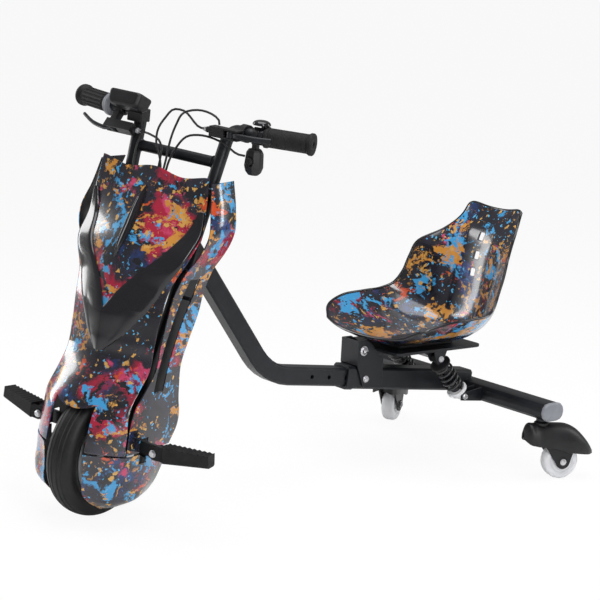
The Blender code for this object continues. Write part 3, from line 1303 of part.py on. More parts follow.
def build_seat():
    rows = []
    for s in np.linspace(0, 1, 19):
        width, my, mz, ry, rz = through(SEAT_FORM, s)
        row = []
        for u in np.linspace(-1, 1, 15):
            a = abs(u)
            k = a ** 2.4
            y = my + (ry - my) * k
            z = mz + (rz - mz) * k
            # shallow channel down the middle of the back
            step = 1 / (1 + math.exp((a * width - 0.043) * 900))
            y += 0.004 * step * min(1.0, max(0.0, (s - 0.55) / 0.1)) * min(1.0, max(0.0, (0.9 - s) / 0.08))
            row.append((u * width, y, z))
        rows.append(row)
    seat = shell("seat_shell", rows, SEAT_SKIN, "print", None, -1.0)
    half, y0, y1 = SEAT_PAD
    pad = loft("pad_form", [[(a, b, z) for a, b in rounded_rect(-half, y0, half, y1, 0.010)]
                            for z in (PLATE_TOP_Z + GAP, 0.2665)], "print")
    join(seat, pad)
    for y, z in ((0.961, 0.4726), (0.950, 0.432), (0.936, 0.396)):
        cut(seat, block("slot_cut", (-0.0075, y - 0.03, z - 0.0085), (0.0075, y + 0.03, z + 0.0085)))


def build_shocks():
    top = Vector((0, *SHOCK_TOP))
    low = Vector((0, *SHOCK_LOW))
    axis = (top - low).normalized()
    length = (top - low).length
    neck = SHOCK_EYE_HALF - 0.0002
    seat = SPRING_SEAT + SPRING_SEAT_THICK
    for name, side in (("left", 1), ("right", -1)):
        base = low + Vector((side * SHOCK_X, 0, 0))
        body = revolve("shock_body_" + name,
                       [(0, 0.006), (neck, 0.006), (neck, SPRING_SEAT), (SPRING_SEAT_RADIUS, SPRING_SEAT + 0.004),
                        (SPRING_SEAT_RADIUS, seat), (0.0105, seat + 0.0005), (0.0095, seat + 0.004),
                        (0.0095, 0.068), (0.0058, 0.068), (0.0058, 0.028), (0, 0.028)],
                       base, axis, 14, "steel")
        eye = rod("eye_form", base - Vector((SHOCK_EYE_HALF, 0, 0)), base + Vector((SHOCK_EYE_HALF, 0, 0)),
                  SHOCK_EYE_RADIUS, 14, "steel")
        join(body, eye)
        cut(body, rod("eye_bore", base - Vector((0.03, 0, 0)), base + Vector((0.03, 0, 0)),
                      SHOCK_BOLT_RADIUS + GAP, 10))
        set_pivot(body, base)
        head = length
        upper = revolve("shock_rod_" + name,
                        [(0, head - 0.006), (neck, head - 0.006), (neck, head - SPRING_SEAT),
                         (SPRING_SEAT_RADIUS, head - SPRING_SEAT - 0.004), (SPRING_SEAT_RADIUS, head - seat),
                         (0.0050, head - seat), (0.0050, 0.048), (0, 0.048)],
                        base, axis, 14, "frame")
        tip = base + axis * length
        join(upper, rod("eye_form", tip - Vector((SHOCK_EYE_HALF, 0, 0)), tip + Vector((SHOCK_EYE_HALF, 0, 0)),
                        SHOCK_EYE_RADIUS, 14, "frame"))
        cut(upper, rod("eye_bore", tip - Vector((0.03, 0, 0)), tip + Vector((0.03, 0, 0)),
                       SHOCK_BOLT_RADIUS + SHOCK_EYE_PLAY, 12))
        set_pivot(upper, tip)
        build_spring("shock_spring_" + name, base, axis, seat + SPRING_WIRE + GAP,
                     head - seat - SPRING_WIRE - GAP)
        shock_bolt("shock_bolt_low_" + name, base, SHOCK_EYE_HALF + GAP + 0.004 + GAP)
    shock_bolt("shock_bolt_upper", top, SHOCK_X + SHOCK_EYE_HALF + GAP + 0.0035 + GAP)


def shock_bolt(name, centre, reach):
    r = SHOCK_BOLT_RADIUS
    revolve(name, [(0, -reach - 0.005), (0.0065, -reach - 0.005), (0.0065, -reach), (r, -reach),
                   (r, reach), (0.0065, reach), (0.0062, reach + 0.004), (0, reach + 0.0055)],
            centre, (1, 0, 0), 10, "steel")


def build_spring(name, base, axis, low, high):
    """A coil of round wire along the shock, one unbroken tube."""
    first = Vector((1, 0, 0))
    second = axis.cross(first)
    per_curl = 10
    count = SPRING_CURLS * per_curl
    pitch = (high - low) / SPRING_CURLS
    curve = bpy.data.curves.new(name, "CURVE")
    curve.dimensions = "3D"
    curve.bevel_depth = SPRING_WIRE
    curve.bevel_resolution = 1
    curve.use_fill_caps = True
    curve.render_resolution_u = 0
    spline = curve.splines.new("POLY")
    spline.points.add(count)
    points = []
    for i in range(count + 1):
        a = 2 * math.pi * i / per_curl
        p = base + axis * (low + (high - low) * i / count)
        p = p + first * SPRING_RADIUS * math.cos(a) + second * SPRING_RADIUS * math.sin(a)
        spline.points[i].co = (*p, 1)
        points.append(p)
    gaps = []
    for i, p in enumerate(points):
        for q in points[i + per_curl - 2:i + per_curl + 3]:
            gaps.append((q - p).length - 2 * SPRING_WIRE)
    print("%s: pitch %.2f mm, least gap between curls %.2f mm" % (name, pitch * 1000, min(gaps) * 1000))
    curve.materials.append(material("frame"))
    obj = bpy.data.objects.new(name, curve)
    bpy.context.collection.objects.link(obj)
    obj.parent = FRAMES["body"]
    return obj


# station along the fender, half width, rim z, top z
FENDER_FORM = [
    (-0.0390, 0.0070, 0.0850, 0.1010),
    (-0.0310, 0.0200, 0.0780, 0.1160),
    (-0.0170, 0.0270, 0.0745, 0.1185),
    (0.0050, 0.0305, 0.0720, FENDER_TOP_Z),
    (0.0300, 0.0315, 0.0690, 0.1185),
    (0.0586, 0.0300, 0.0600, 0.1155),
    (0.0786, 0.0265, 0.0565, 0.1055),
    (0.0944, 0.0225, 0.0540, 0.0915),
    (0.1100, 0.0150, 0.0520, 0.0735),
    (0.1190, 0.0060, 0.0520, 0.0600),
]


def build_casters():
    for name in ("left", "right"):
        frame = "caster_" + name
        rows = []
        for s in np.linspace(FENDER_FORM[0][0], FENDER_FORM[-1][0], 10):
            width, rim, top = through(FENDER_FORM, s)
            row = []
            for i in range(7):
                a = math.pi * i / 6
                rise = max(0.0, math.sin(a)) ** 0.62 if 0 < i < 6 else 0.0
                row.append((width * math.cos(a), s, rim + (top - rim) * rise))
            rows.append(row)
        fender = shell("caster_fork_" + name, rows, 0.0028, "plastic", frame, 1.0)
        # two arms down to the axle, rounded about it
        inner = CASTER_HALF_WIDTH + RUN + 0.0016
        lobe = []
        for i in range(5):
            a = math.radians(200 + 150 * i / 4)
            lobe.append((CASTER_TRAIL + ARM_LOBE * math.cos(a), CASTER_RADIUS + ARM_LOBE * math.sin(a)))
        arm = [(-0.002, 0.080)] + lobe + [(0.072, 0.068), (0.070, 0.080)]
        for side in (1, -1):
            join(fender, plate("arm_form", arm, "x", side * inner, side * (inner + ARM_THICK), "plastic", frame))
            web = [(-0.002, 0.084), (0.068, 0.084), (0.066, 0.073), (0.006, 0.0755)]
            join(fender, plate("web_form", web, "x", side * (inner + 0.0005), side * 0.0280, "plastic", frame))
        # swivel disc and stem on top
        low, high = SOCKET_LOW_Z - GAP, SOCKET_LOW_Z + CASTER_STEM - 0.003
        join(fender, revolve("disc_form", [(0, FENDER_TOP_Z - 0.008), (0.015, FENDER_TOP_Z - 0.008),
                                           (0.015, FENDER_TOP_Z + 0.001), (0.011, low), (STEM_RADIUS_LOW, low),
                                           (STEM_RADIUS_LOW, high), (0, high)],
                              (0, 0, 0), (0, 0, 1), 12, "plastic", frame))
        at = (0, CASTER_TRAIL, CASTER_RADIUS)
        cut(fender, rod("axle_hole", (-0.05, CASTER_TRAIL, CASTER_RADIUS), (0.05, CASTER_TRAIL, CASTER_RADIUS),
                        CASTER_AXLE_RADIUS + GAP, 8, "plastic", frame))
        bore = CASTER_AXLE_RADIUS + RUN
        w = CASTER_HALF_WIDTH
        r = CASTER_RADIUS
        half = [(r, w - 0.0085), (r - 0.0045, w), (0.025, w), (0.022, w - 0.0025), (0.011, w - 0.002),
                (0.0095, w + 0.0008), (bore, w + 0.0008)]
        outline = [(a, -b) for a, b in reversed(half)] + half
        wheel = revolve("caster_wheel_" + name, outline, at, (1, 0, 0), 15, "white", frame)
        set_pivot(wheel, at)
        reach = inner + ARM_THICK + GAP
        q = CASTER_AXLE_RADIUS
        revolve("caster_bolt_" + name,
                [(0, -reach - 0.005), (0.0068, -reach - 0.005), (0.0068, -reach), (q, -reach), (q, reach),
                 (0.0068, reach), (0.0062, reach + 0.004), (0, reach + 0.0052)], at, (1, 0, 0), 10, "steel", frame)


ARM_LOBE = 0.0155
ARM_THICK = 0.0036
STEM_RADIUS_LOW = 0.0058


def report_joints():
    """Prints each joint's place and axis in the world, for the record."""
    bpy.context.view_layer.update()
    front = Matrix.Translation(ORIGIN) @ FRAMES["front"].matrix_world
    rows = [("steering", STEER_POINT, STEER_AXIS)]
    def at_front(point, axis):
        return front @ Vector(point), front.to_3x3() @ Vector(axis)
    rows.append(("wheel_spin", *at_front((0, 0, TYRE_RADIUS), (1, 0, 0))))
    rows.append(("throttle_twist", *at_front(bar_point(0.06, -1), bar_direction(-1))))
    for name, data in LEVERS.items():
        rows.append(("brake_" + name, *at_front(lever_pivot(data), lever_axes(data)[3])))
    for name, side in (("left", 1), ("right", -1)):
        rows.append(("peg_" + name, *at_front((side * PEG_PIVOT[0], PEG_PIVOT[1], PEG_PIVOT[2]), (0, -side, 0))))
    rows.append(("horn_press", *at_front(bar_point(POD_AT, 1) + HORN_FACE, (0, 1, 0))))
    down = Vector((0, 1, -BEAM_SLOPE)).normalized()
    rows.append(("length_slide", Vector((0, SLEEVE_START_Y, beam_z(SLEEVE_START_Y))), down))
    rows.append(("seat_rock", Vector((0, PIVOT_Y, PIVOT_Z)), Vector((1, 0, 0))))
    rows.append(("shock_low", Vector((0, *SHOCK_LOW)), Vector((1, 0, 0))))
    rows.append(("shock_axis", Vector((0, *SHOCK_TOP)),
                 (Vector((0, *SHOCK_TOP)) - Vector((0, *SHOCK_LOW))).normalized()))
    for name in ("left", "right"):
        place = Matrix.Translation(ORIGIN) @ FRAMES["caster_" + name].matrix_world
        rows.append(("swivel_" + name, place @ Vector((0, 0, 0.12)), Vector((0, 0, 1))))
        rows.append(("spin_" + name, place @ Vector((0, CASTER_TRAIL, CASTER_RADIUS)),
                     place.to_3x3() @ Vector((1, 0, 0))))
    for name, point, axis in rows:
        place = [round(v, 5) for v in point - ORIGIN]
        print("joint %-16s pos %s axis %s" % (name, place, [round(v, 5) for v in axis]))


clear_scene()
make_frames()
build_wheel()
build_fork()
build_inside()
build_pegs()
build_front_cover()
build_side_covers()
build_trim()
build_handlebar()
build_grips()
build_display()
build_levers()
build_bell()
build_pod()
build_cables()
build_beam()
build_rear_frame()
build_seat_mount()
build_seat()
build_shocks()
build_casters()
report_joints()
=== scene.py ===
# The looks of the three-wheel scooter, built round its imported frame.
# Metres, +Z up, front towards -Y, rider's left towards +X. Shapes are drawn with the front unit
# straight ahead; BODY, FRONT and CASTERS carry them to where the photograph has them.
import math
from functools import partial

import bmesh
import bpy
import numpy as np
from mathutils import Matrix, Quaternion, Vector


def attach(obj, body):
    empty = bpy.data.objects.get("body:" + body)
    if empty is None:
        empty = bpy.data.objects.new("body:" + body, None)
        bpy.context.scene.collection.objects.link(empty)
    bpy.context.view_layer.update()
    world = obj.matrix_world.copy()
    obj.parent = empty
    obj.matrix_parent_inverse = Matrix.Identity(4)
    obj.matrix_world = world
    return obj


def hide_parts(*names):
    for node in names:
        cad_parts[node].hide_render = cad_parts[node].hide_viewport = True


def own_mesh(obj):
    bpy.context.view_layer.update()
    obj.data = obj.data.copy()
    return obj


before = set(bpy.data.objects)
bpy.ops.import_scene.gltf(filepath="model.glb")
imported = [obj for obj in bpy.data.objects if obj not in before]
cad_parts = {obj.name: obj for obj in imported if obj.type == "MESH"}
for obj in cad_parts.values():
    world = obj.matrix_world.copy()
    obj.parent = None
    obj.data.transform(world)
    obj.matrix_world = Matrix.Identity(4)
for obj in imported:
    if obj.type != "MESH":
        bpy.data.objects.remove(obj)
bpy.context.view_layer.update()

UP = Vector((0, 0, 1))
LEFT = Vector((1, 0, 0))
AHEAD = Vector((0, -1, 0))
SIDES = (("left", 1), ("right", -1))

ORIGIN = Vector((-0.00575, 0.4655, -0.0002))  # the frame's origin, on the vehicle
GAP = 0.0004  # between neighbouring solids
SKIN = 0.0026  # wall of a cover
RAKE = math.radians(15.0)
STEER_TURN = math.radians(17.5)
TYRE_RADIUS = 0.125
LEG_X = 0.0575  # a fork leg's distance from the middle at the axle
LEG_SPREAD = 0.076  # and its growth with height
HEAD_MID_Z = 0.534
HEAD_OFFSET = 0.050
BAR_RADIUS = 0.012
BAR_HEIGHT = 0.738
BAR_KINK = 0.016  # from the grip's start back to the bend of the bar
GRIP_START = (0.174, 0.158)
GRIP_END = (0.2745, 0.189)
KINGPIN = (0.245, 0.938)
CASTER_TURNS = {"left": -22, "right": 30}
CASTER_TRAIL = 0.047
CASTER_RADIUS = 0.0385


def leg_y(z):
    return math.tan(RAKE) * (z - TYRE_RADIUS)


def leg_point(z, side):
    """The middle of a fork leg at this height."""
    return Vector((side * (LEG_X + LEG_SPREAD * (z - TYRE_RADIUS)), leg_y(z), z))


def turn_z(degrees):
    return Matrix.Rotation(math.radians(degrees), 4, "Z")


STEER_AXIS = Vector((0, math.sin(RAKE), math.cos(RAKE)))
STEER_POINT = Vector((0, leg_y(HEAD_MID_Z) + HEAD_OFFSET / math.cos(RAKE), HEAD_MID_Z))
BODY = Matrix.Translation(-ORIGIN)
FRONT = (BODY @ Matrix.Translation(STEER_POINT) @ Matrix.Rotation(STEER_TURN, 4, STEER_AXIS)
         @ Matrix.Translation(-STEER_POINT))
CASTERS = {name: BODY @ Matrix.Translation((side * KINGPIN[0], KINGPIN[1], 0))
           @ turn_z(CASTER_TURNS[name]) for name, side in SIDES}


def fork_point(x, back, up):
    """A point measured across, behind and along the steering axis."""
    behind = Vector((0, math.cos(RAKE), -math.sin(RAKE)))
    return STEER_POINT + Vector((x, 0, 0)) + behind * back + STEER_AXIS * up


def placed(name, data):
    obj = bpy.data.objects.new(name, data)
    bpy.context.scene.collection.objects.link(obj)
    return obj


# camera

VIEW_TURN, VIEW_DIP, VIEW_ROLL = (math.radians(a) for a in (51.25, 10.75, 3.11))
VIEW_EYE = Vector((2.756, -1.739, 1.041))
SENSOR_MM, LENS_MM = 36, 107.7


def place_camera():
    level, fall = math.cos(VIEW_DIP), -math.sin(VIEW_DIP)
    right = Vector((math.cos(VIEW_TURN), math.sin(VIEW_TURN), 0))
    ahead = Vector((-math.sin(VIEW_TURN) * level, math.cos(VIEW_TURN) * level, fall))
    above = right.cross(ahead)
    side = right * math.cos(VIEW_ROLL) + above * math.sin(VIEW_ROLL)
    top = above * math.cos(VIEW_ROLL) - right * math.sin(VIEW_ROLL)
    view = bpy.data.cameras.new("photo_view")
    view.sensor_width = SENSOR_MM
    view.lens = LENS_MM
    camera = placed("photo_view", view)
    turn = Matrix((side, top, -ahead)).transposed().to_4x4()
    camera.matrix_world = Matrix.Translation(VIEW_EYE - ORIGIN) @ turn
    bpy.context.scene.camera = camera


place_camera()


# finishes

class Wire:
    """A shader socket that sums and products work on."""

    def __init__(self, finish, socket):
        self.finish = finish
        self.socket = socket

    def maths(self, operation, first, second):
        return self.finish.node("ShaderNodeMath", {"operation": operation},
                                {0: first, 1: second})

    def __add__(self, other):
        return self.maths("ADD", self, other)

    __radd__ = __add__

    def __mul__(self, other):
        return self.maths("MULTIPLY", self, other)

    __rmul__ = __mul__

    def __sub__(self, other):
        return self.maths("SUBTRACT", self, other)

    def __rsub__(self, other):
        return self.maths("SUBTRACT", other, self)

    def over(self, low, high):
        """0 below low, 1 above high, and a straight slope between."""
        return self.finish.node("ShaderNodeMapRange", {"clamp": True},
                                {"Value": self, "From Min": low, "From Max": high})


class Finish:
    """A material whose nodes are written as expressions."""

    def __init__(self, name, metal=0.0, coat=0.0, coat_rough=0.05, gleam=0.5):
        self.material = bpy.data.materials.new(name)
        self.material.use_nodes = True
        self.tree = self.material.node_tree
        self.shader = self.tree.nodes["Principled BSDF"]
        self.place = self.node("ShaderNodeTexCoord", output="Object")
        self.put(self.shader.inputs["Coat Roughness"], coat_rough)
        self.put(self.shader.inputs["Specular IOR Level"], gleam)
        self.put(self.shader.inputs["Metallic"], metal)
        self.put(self.shader.inputs["Coat Weight"], coat)

    def put(self, socket, value):
        if isinstance(value, Wire):
            self.tree.links.new(value.socket, socket)
        elif isinstance(value, tuple) and len(value) == 3 and socket.type == "RGBA":
            socket.default_value = (*value, 1.0)
        else:
            socket.default_value = value

    def node(self, kind, settings=None, inputs=None, output=0):
        node = self.tree.nodes.new(kind)
        for key, value in (settings or {}).items():
            setattr(node, key, value)
        for key, value in (inputs or {}).items():
            self.put(node.inputs[key], value)
        return Wire(self, node.outputs[output])

    def wear(self, colour, rough, normal=None):
        for key, value in (("Base Color", colour), ("Roughness", rough), ("Normal", normal)):
            if value is not None:
                self.put(self.shader.inputs[key], value)
        return self

    def shift(self, amount, at=None):
        """Coordinates moved by this much, so that two patterns differ."""
        return self.node("ShaderNodeVectorMath", {"operation": "ADD"},
                         {0: at or self.place, 1: amount})

    def noise(self, scale, detail, rough, bend=0.0, at=None, output="Fac"):
        return self.node("ShaderNodeTexNoise", None,
                         {"Vector": at or self.place, "Scale": scale, "Detail": detail,
                          "Roughness": rough, "Distortion": bend}, output)

    def cells(self, scale, at=None, output="Distance"):
        return self.node("ShaderNodeTexVoronoi", None,
                         {"Vector": at or self.place, "Scale": scale}, output)

    def mix(self, share, first, second):
        return self.node("ShaderNodeMix", {"data_type": "RGBA"},
                         {0: share, 6: first, 7: second}, 2)

    def bump(self, height, depth, strength):
        return self.node("ShaderNodeBump", None,
                         {"Height": height, "Distance": depth, "Strength": strength})


INK, DUSK, NAVY = (0.007, 0.007, 0.011), (0.022, 0.020, 0.034), (0.012, 0.040, 0.170)
CRIMSON, ROSE, RUST = (0.340, 0.010, 0.036), (0.500, 0.045, 0.120), (0.500, 0.060, 0.012)
BLUE, SKY, PALE = (0.040, 0.280, 0.560), (0.045, 0.300, 0.580), (0.090, 0.380, 0.640)
AMBER, OCHRE, SAND = (0.520, 0.225, 0.035), (0.560, 0.290, 0.065), (0.540, 0.300, 0.075)


def splatter_print(name, start=(0.0, 0.0, 0.0), spare=0.0):
    """Thrown-paint print under a clear coat: dark clouds, broad patches, torn strokes, drops."""
    f = Finish(name, coat=0.55, coat_rough=0.07)
    f.place = f.shift(start)
    sway = f.noise(26, 6, 0.65, at=f.shift((3.1, 0.4, 7.7)), output="Color")
    ragged = f.node("ShaderNodeVectorMath", {"operation": "MULTIPLY_ADD"},
                    {0: sway, 1: (0.040, 0.040, 0.040), 2: f.place})

    def patch(offset, scale, level, edge=0.012, bend=0.5):
        clouds = f.noise(scale, 7.0, 0.62, bend, at=f.shift(offset, ragged))
        return clouds.over(level, level + edge)

    def strokes(offset, scale, level, stretch):
        """Torn bands: noise drawn out along one way and bent."""
        at = f.node("ShaderNodeVectorMath", {"operation": "MULTIPLY_ADD"},
                    {0: ragged, 1: stretch, 2: offset})
        return f.noise(scale, 6.0, 0.66, 0.7, at=at).over(level, level + 0.014)

    def drops(offset, scale, size):
        at = f.shift(offset, ragged)
        pick = f.node("ShaderNodeSeparateColor", None, {0: f.cells(scale, at, "Color")})
        room = pick.over(0.55, 1.0) * size
        return (room - f.cells(scale, at)).over(0.0, 0.05)

    haze = f.noise(9, 3, 0.5, at=f.shift((1.0, 5.0, 2.0)))
    colour = f.mix(haze.over(0.35, 0.7), INK, DUSK)
    for share, shade in (
            (patch((4.0, 1.0, 0.0), 7.5, 0.535, 0.10, 0.2), NAVY),
            (patch((0.0, 6.0, 2.5), 6.0, 0.530 + spare, 0.05, 0.3), CRIMSON),
            (patch((0.0, 6.2, 2.5), 14, 0.600 + spare, 0.05), ROSE),
            (patch((9.0, 0.0, 1.5), 10, 0.555 + spare), BLUE),
            (strokes((2.0, 8.0, 5.0), 12, 0.580, (0.8, 0.6, 1.4)), AMBER),
            (strokes((7.0, 3.0, 9.0), 13, 0.620, (1.0, 0.7, 1.4)), RUST),
            (strokes((1.0, 2.0, 8.0), 19, 0.605, (0.8, 1.4, 1.0)), SKY),
            (strokes((5.0, 5.0, 1.0), 17, 0.560, (1.4, 0.7, 1.0)), INK),
            (strokes((6.0, 9.0, 4.0), 27, 0.625, (0.8, 1.5, 0.9)), OCHRE),
            (drops((0.2, 0.1, 0.3), 80, 0.42), SAND),
            (drops((1.2, 2.1, 0.3), 55, 0.42), INK),
            (drops((3.2, 0.1, 1.3), 120, 0.38), PALE)):
        colour = f.mix(share, colour, shade)
    dust = f.noise(260, 3, 0.6)
    ripple = f.bump(f.noise(55, 2, 0.5), 0.0006, 0.20)
    return f.wear(colour, 0.17 + dust * 0.10, ripple)


def gloss_black():
    f = Finish("gloss_black", coat=0.3, coat_rough=0.04, gleam=0.4)
    colour = f.mix(f.noise(14, 4, 0.6), (0.006, 0.006, 0.008), (0.014, 0.014, 0.017))
    fine = f.noise(420, 2, 0.5)
    return f.wear(colour, 0.09 + fine * 0.10, f.bump(f.noise(40, 2, 0.5), 0.0004, 0.15))


def white_nylon():
    f = Finish("white_nylon")
    scuff = f.noise(70, 8, 0.75, 0.6)
    cloud = f.noise(18, 3, 0.5)
    colour = f.mix(cloud.over(0.3, 0.8), (0.70, 0.71, 0.74), (0.80, 0.80, 0.81))
    colour = f.mix(scuff.over(0.62, 0.72) * 0.5, colour, (0.46, 0.46, 0.47))
    return f.wear(colour, 0.28 + scuff * 0.2, f.bump(scuff, 0.0002, 0.3))


def stained(name, stain, colours, rough, span=None, grain=None, relief=None, **base):
    """One noise varies both colour and roughness. The relief, as depth and strength, follows a
    finer noise, cells of this scale or else the same noise."""
    f = Finish(name, **base)
    cloud = f.noise(*stain)
    normal = None
    if relief:
        if grain is None:
            height = cloud
        else:
            height = f.noise(*grain) if isinstance(grain, tuple) else f.cells(grain)
        normal = f.bump(height, *relief)
    share = cloud.over(*span) if span else cloud
    return f.wear(f.mix(share, *colours), rough[0] + cloud * rough[1], normal)


PRINT = splatter_print("cover_print")
SEAT_PRINT = splatter_print("seat_print", (3.3, 1.7, 0.6), 0.022)
GLOSS = gloss_black()
# satin powder coat: fine orange peel, with a little dust and rubbing
PAINT = stained("frame_paint", (26, 6, 0.7), ((0.006, 0.007, 0.009), (0.013, 0.014, 0.018)),
                (0.30, 0.16), (0.35, 0.75), (900, 2, 0.5), (0.00006, 0.6), gleam=0.35)
TYRE = stained("tyre_rubber", (38, 6, 0.7), ((0.006, 0.006, 0.007), (0.018, 0.018, 0.017)),
               (0.36, 0.25), (0.4, 0.8), (1100, 3, 0.6), (0.00010, 0.7), gleam=0.3)
RUBBER = stained("grip_rubber", (60, 5, 0.6), ((0.008, 0.008, 0.009), (0.019, 0.019, 0.020)),
                 (0.55, 0.2), (0.4, 0.8), 1500, (0.00012, 0.6), gleam=0.25)
PLASTIC = stained("black_plastic", (30, 5, 0.6), ((0.007, 0.007, 0.008), (0.015, 0.015, 0.017)),
                  (0.34, 0.16), (0.3, 0.8), 1300, (0.00008, 0.5), gleam=0.35)
GREY = stained("grey_plastic", (40, 5, 0.6), ((0.185, 0.195, 0.220), (0.255, 0.265, 0.295)),
               (0.38, 0.16), (0.3, 0.8), 1300, (0.00008, 0.5))
NYLON = white_nylon()
STEEL = stained("zinc_steel", (160, 4, 0.6), ((0.48, 0.48, 0.50), (0.72, 0.72, 0.74)),
                (0.22, 0.18), relief=(0.0001, 0.3), metal=1.0)
CAST = stained("cast_metal", (240, 5, 0.65), ((0.36, 0.37, 0.39), (0.58, 0.59, 0.61)),
               (0.34, 0.2), relief=(0.00025, 0.4), metal=1.0)
WIRE = stained("spring_paint", (210, 5, 0.7), ((0.016, 0.016, 0.018), (0.16, 0.16, 0.17)),
               (0.24, 0.2), (0.66, 0.70), relief=(0.0001, 0.3), coat=0.4)
LENS = stained("dark_lens", (90, 4, 0.6), ((0.007, 0.008, 0.010), (0.018, 0.020, 0.024)),
               (0.05, 0.06), coat=0.5)


# making pieces

def show(name, mesh, finish, body, slot, stands_for="", sharp=35.0):
    """Puts the mesh in the scene, smooth but for edges over this angle, on its body."""
    mesh.materials.clear()
    mesh.materials.append(finish.material)
    mesh.shade_smooth()
    mesh.set_sharp_from_angle(angle=math.radians(sharp))
    obj = placed(name, mesh)
    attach(obj, body)
    if stands_for:
        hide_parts(stands_for)
    return obj


def close_up(form, place):
    """The form's mesh, in place, with its doubles merged and its faces pointing out."""
    form.transform(place)
    bmesh.ops.remove_doubles(form, verts=form.verts[:], dist=1e-6)
    bmesh.ops.recalc_face_normals(form, faces=form.faces[:])
    return as_mesh(form, "form")


def as_mesh(form, name):
    mesh = bpy.data.meshes.new(name)
    form.to_mesh(mesh)
    form.free()
    return mesh


def soften(form, width, sharp, segments=2):
    """Rounds every edge that is sharper than the angle."""
    edges = [e for e in form.edges
             if len(e.link_faces) == 2 and e.calc_face_angle(0) > math.radians(sharp)]
    bmesh.ops.bevel(form, geom=edges, offset=width, offset_type="OFFSET", segments=segments,
                    profile=0.5, affect="EDGES", clamp_overlap=False, material=-1)


def aim(centre, axis):
    """Carries the origin to the centre and +Z to the axis."""
    turn = UP.rotation_difference(Vector(axis).normalized()).to_matrix().to_4x4()
    return Matrix.Translation(Vector(centre)) @ turn


def absorb(form, other):
    """Adds the other form to this one and frees it."""
    held = as_mesh(other, "held")
    form.from_mesh(held)
    bpy.data.meshes.remove(held)


def merge_in(form, other):
    bmesh.ops.recalc_face_normals(other, faces=other.faces[:])
    absorb(form, other)


def lathe(form, outline, place, steps=64, closed=True):
    """Spins an outline of (radius, height) points round its axis and adds it to the form."""
    ring = bmesh.new()
    points = [ring.verts.new((r, 0, h)) for r, h in outline]
    count = len(points)
    edges = [ring.edges.new((points[i], points[(i + 1) % count]))
             for i in range(count if closed else count - 1)
             if outline[i][0] > 1e-7 or outline[(i + 1) % count][0] > 1e-7]
    bmesh.ops.spin(ring, geom=points + edges, cent=(0, 0, 0), axis=UP, angle=2 * math.pi,
                   steps=steps, use_merge=True)
    bmesh.ops.remove_doubles(ring, verts=ring.verts[:], dist=1e-7)
    ring.transform(place)
    merge_in(form, ring)


def turned(form, place, sections, sides=40):
    """Cones and cylinders stacked along one axis: first radius, last radius, start, end and,
    where it isn't the usual count, sides."""
    for section in sections:
        r1, r2, start, end = section[:4]
        bmesh.ops.create_cone(form, cap_ends=True, segments=(*section, sides)[4], radius1=r1,
                              radius2=r2, depth=end - start,
                              matrix=place @ Matrix.Translation((0, 0, (start + end) / 2)))


def slab(form, outline, push):
    """An outline of points pushed along a vector."""
    plate = bmesh.new()
    face = plate.faces.new([plate.verts.new(p) for p in outline])
    grown = bmesh.ops.extrude_face_region(plate, geom=[face])["geom"]
    ends = [v for v in grown if isinstance(v, bmesh.types.BMVert)]
    bmesh.ops.translate(plate, vec=Vector(push), verts=ends)
    merge_in(form, plate)


def block(form, place, half):
    bmesh.ops.create_cube(form, size=2.0, matrix=place @ Matrix.Diagonal((*half, 1.0)))


def between(low, high, v):
    """Carries -1 to 1 on to low to high."""
    return low + (high - low) * (v + 1) / 2


def sheet(columns, rows, at, outward):
    """A grid carried by a rule from (u, v) in -1 to 1, its faces turned to face outward."""
    form = bmesh.new()
    bmesh.ops.create_grid(form, x_segments=columns, y_segments=rows, size=1.0)
    for v in form.verts:
        v.co = at(v.co.x, v.co.y)
    form.normal_update()
    if sum(f.normal.dot(outward) * f.calc_area() for f in form.faces) < 0:
        bmesh.ops.reverse_faces(form, faces=form.faces[:])
    return form


def modify(obj, kind, **settings):
    mod = obj.modifiers.new(kind.lower(), kind)
    for key, value in settings.items():
        setattr(mod, key, value)


def walled(form, place, wall, cutters=(), edge=0.0):
    """The sheet given a wall behind it, its openings cut and its edges rounded, as a mesh."""
    form.transform(place)
    obj = placed("wall", as_mesh(form, "wall"))
    modify(obj, "SOLIDIFY", thickness=wall, offset=-1.0, use_even_offset=True)
    for helper in cutters:
        modify(obj, "BOOLEAN", operation="DIFFERENCE", solver="EXACT", object=helper)
    if edge:
        modify(obj, "BEVEL", width=edge, segments=2, limit_method="ANGLE",
               angle_limit=math.radians(50), use_clamp_overlap=False)
    return settled(obj, cutters)


def settled(obj, helpers=()):
    """The object's mesh with its modifiers applied; the object and its helpers are removed."""
    bpy.context.view_layer.update()
    graph = bpy.context.evaluated_depsgraph_get()
    mesh = bpy.data.meshes.new_from_object(obj.evaluated_get(graph))
    for other in (obj, *helpers):
        bpy.data.objects.remove(other)
    return mesh


def cutter(form, place):
    return placed("cutter", close_up(form, place))


def from_cad(node, finish, body, slot, round_edges):
    """A CAD node's shape, merged and with its edges rounded."""
    form = bmesh.new()
    form.from_mesh(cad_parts[node].data)
    bmesh.ops.remove_doubles(form, verts=form.verts[:], dist=2e-5)
    bmesh.ops.dissolve_degenerate(form, edges=form.edges[:], dist=5e-5)
    bmesh.ops.dissolve_limit(form, angle_limit=math.radians(1.5), verts=form.verts[:],
                             edges=form.edges[:])
    if round_edges:
        soften(form, round_edges, 28.0)
    obj = show(node + "_look", as_mesh(form, node + "_form"), finish, body, slot, node, 40)
    modify(obj, "WEIGHTED_NORMAL", keep_sharp=True)


def strand(name, lines, radius, roundness):
    """A curve object: a round tube along each line of points."""
    curve = bpy.data.curves.new(name, "CURVE")
    curve.dimensions = "3D"
    curve.bevel_depth = radius
    curve.bevel_resolution = roundness
    curve.use_fill_caps = True
    for line in lines:
        spline = curve.splines.new("POLY")
        spline.points.add(len(line) - 1)
        for i, p in enumerate(line):
            spline.points[i].co = (*p, 1)
        spline.use_smooth = True
    return placed(name, curve)


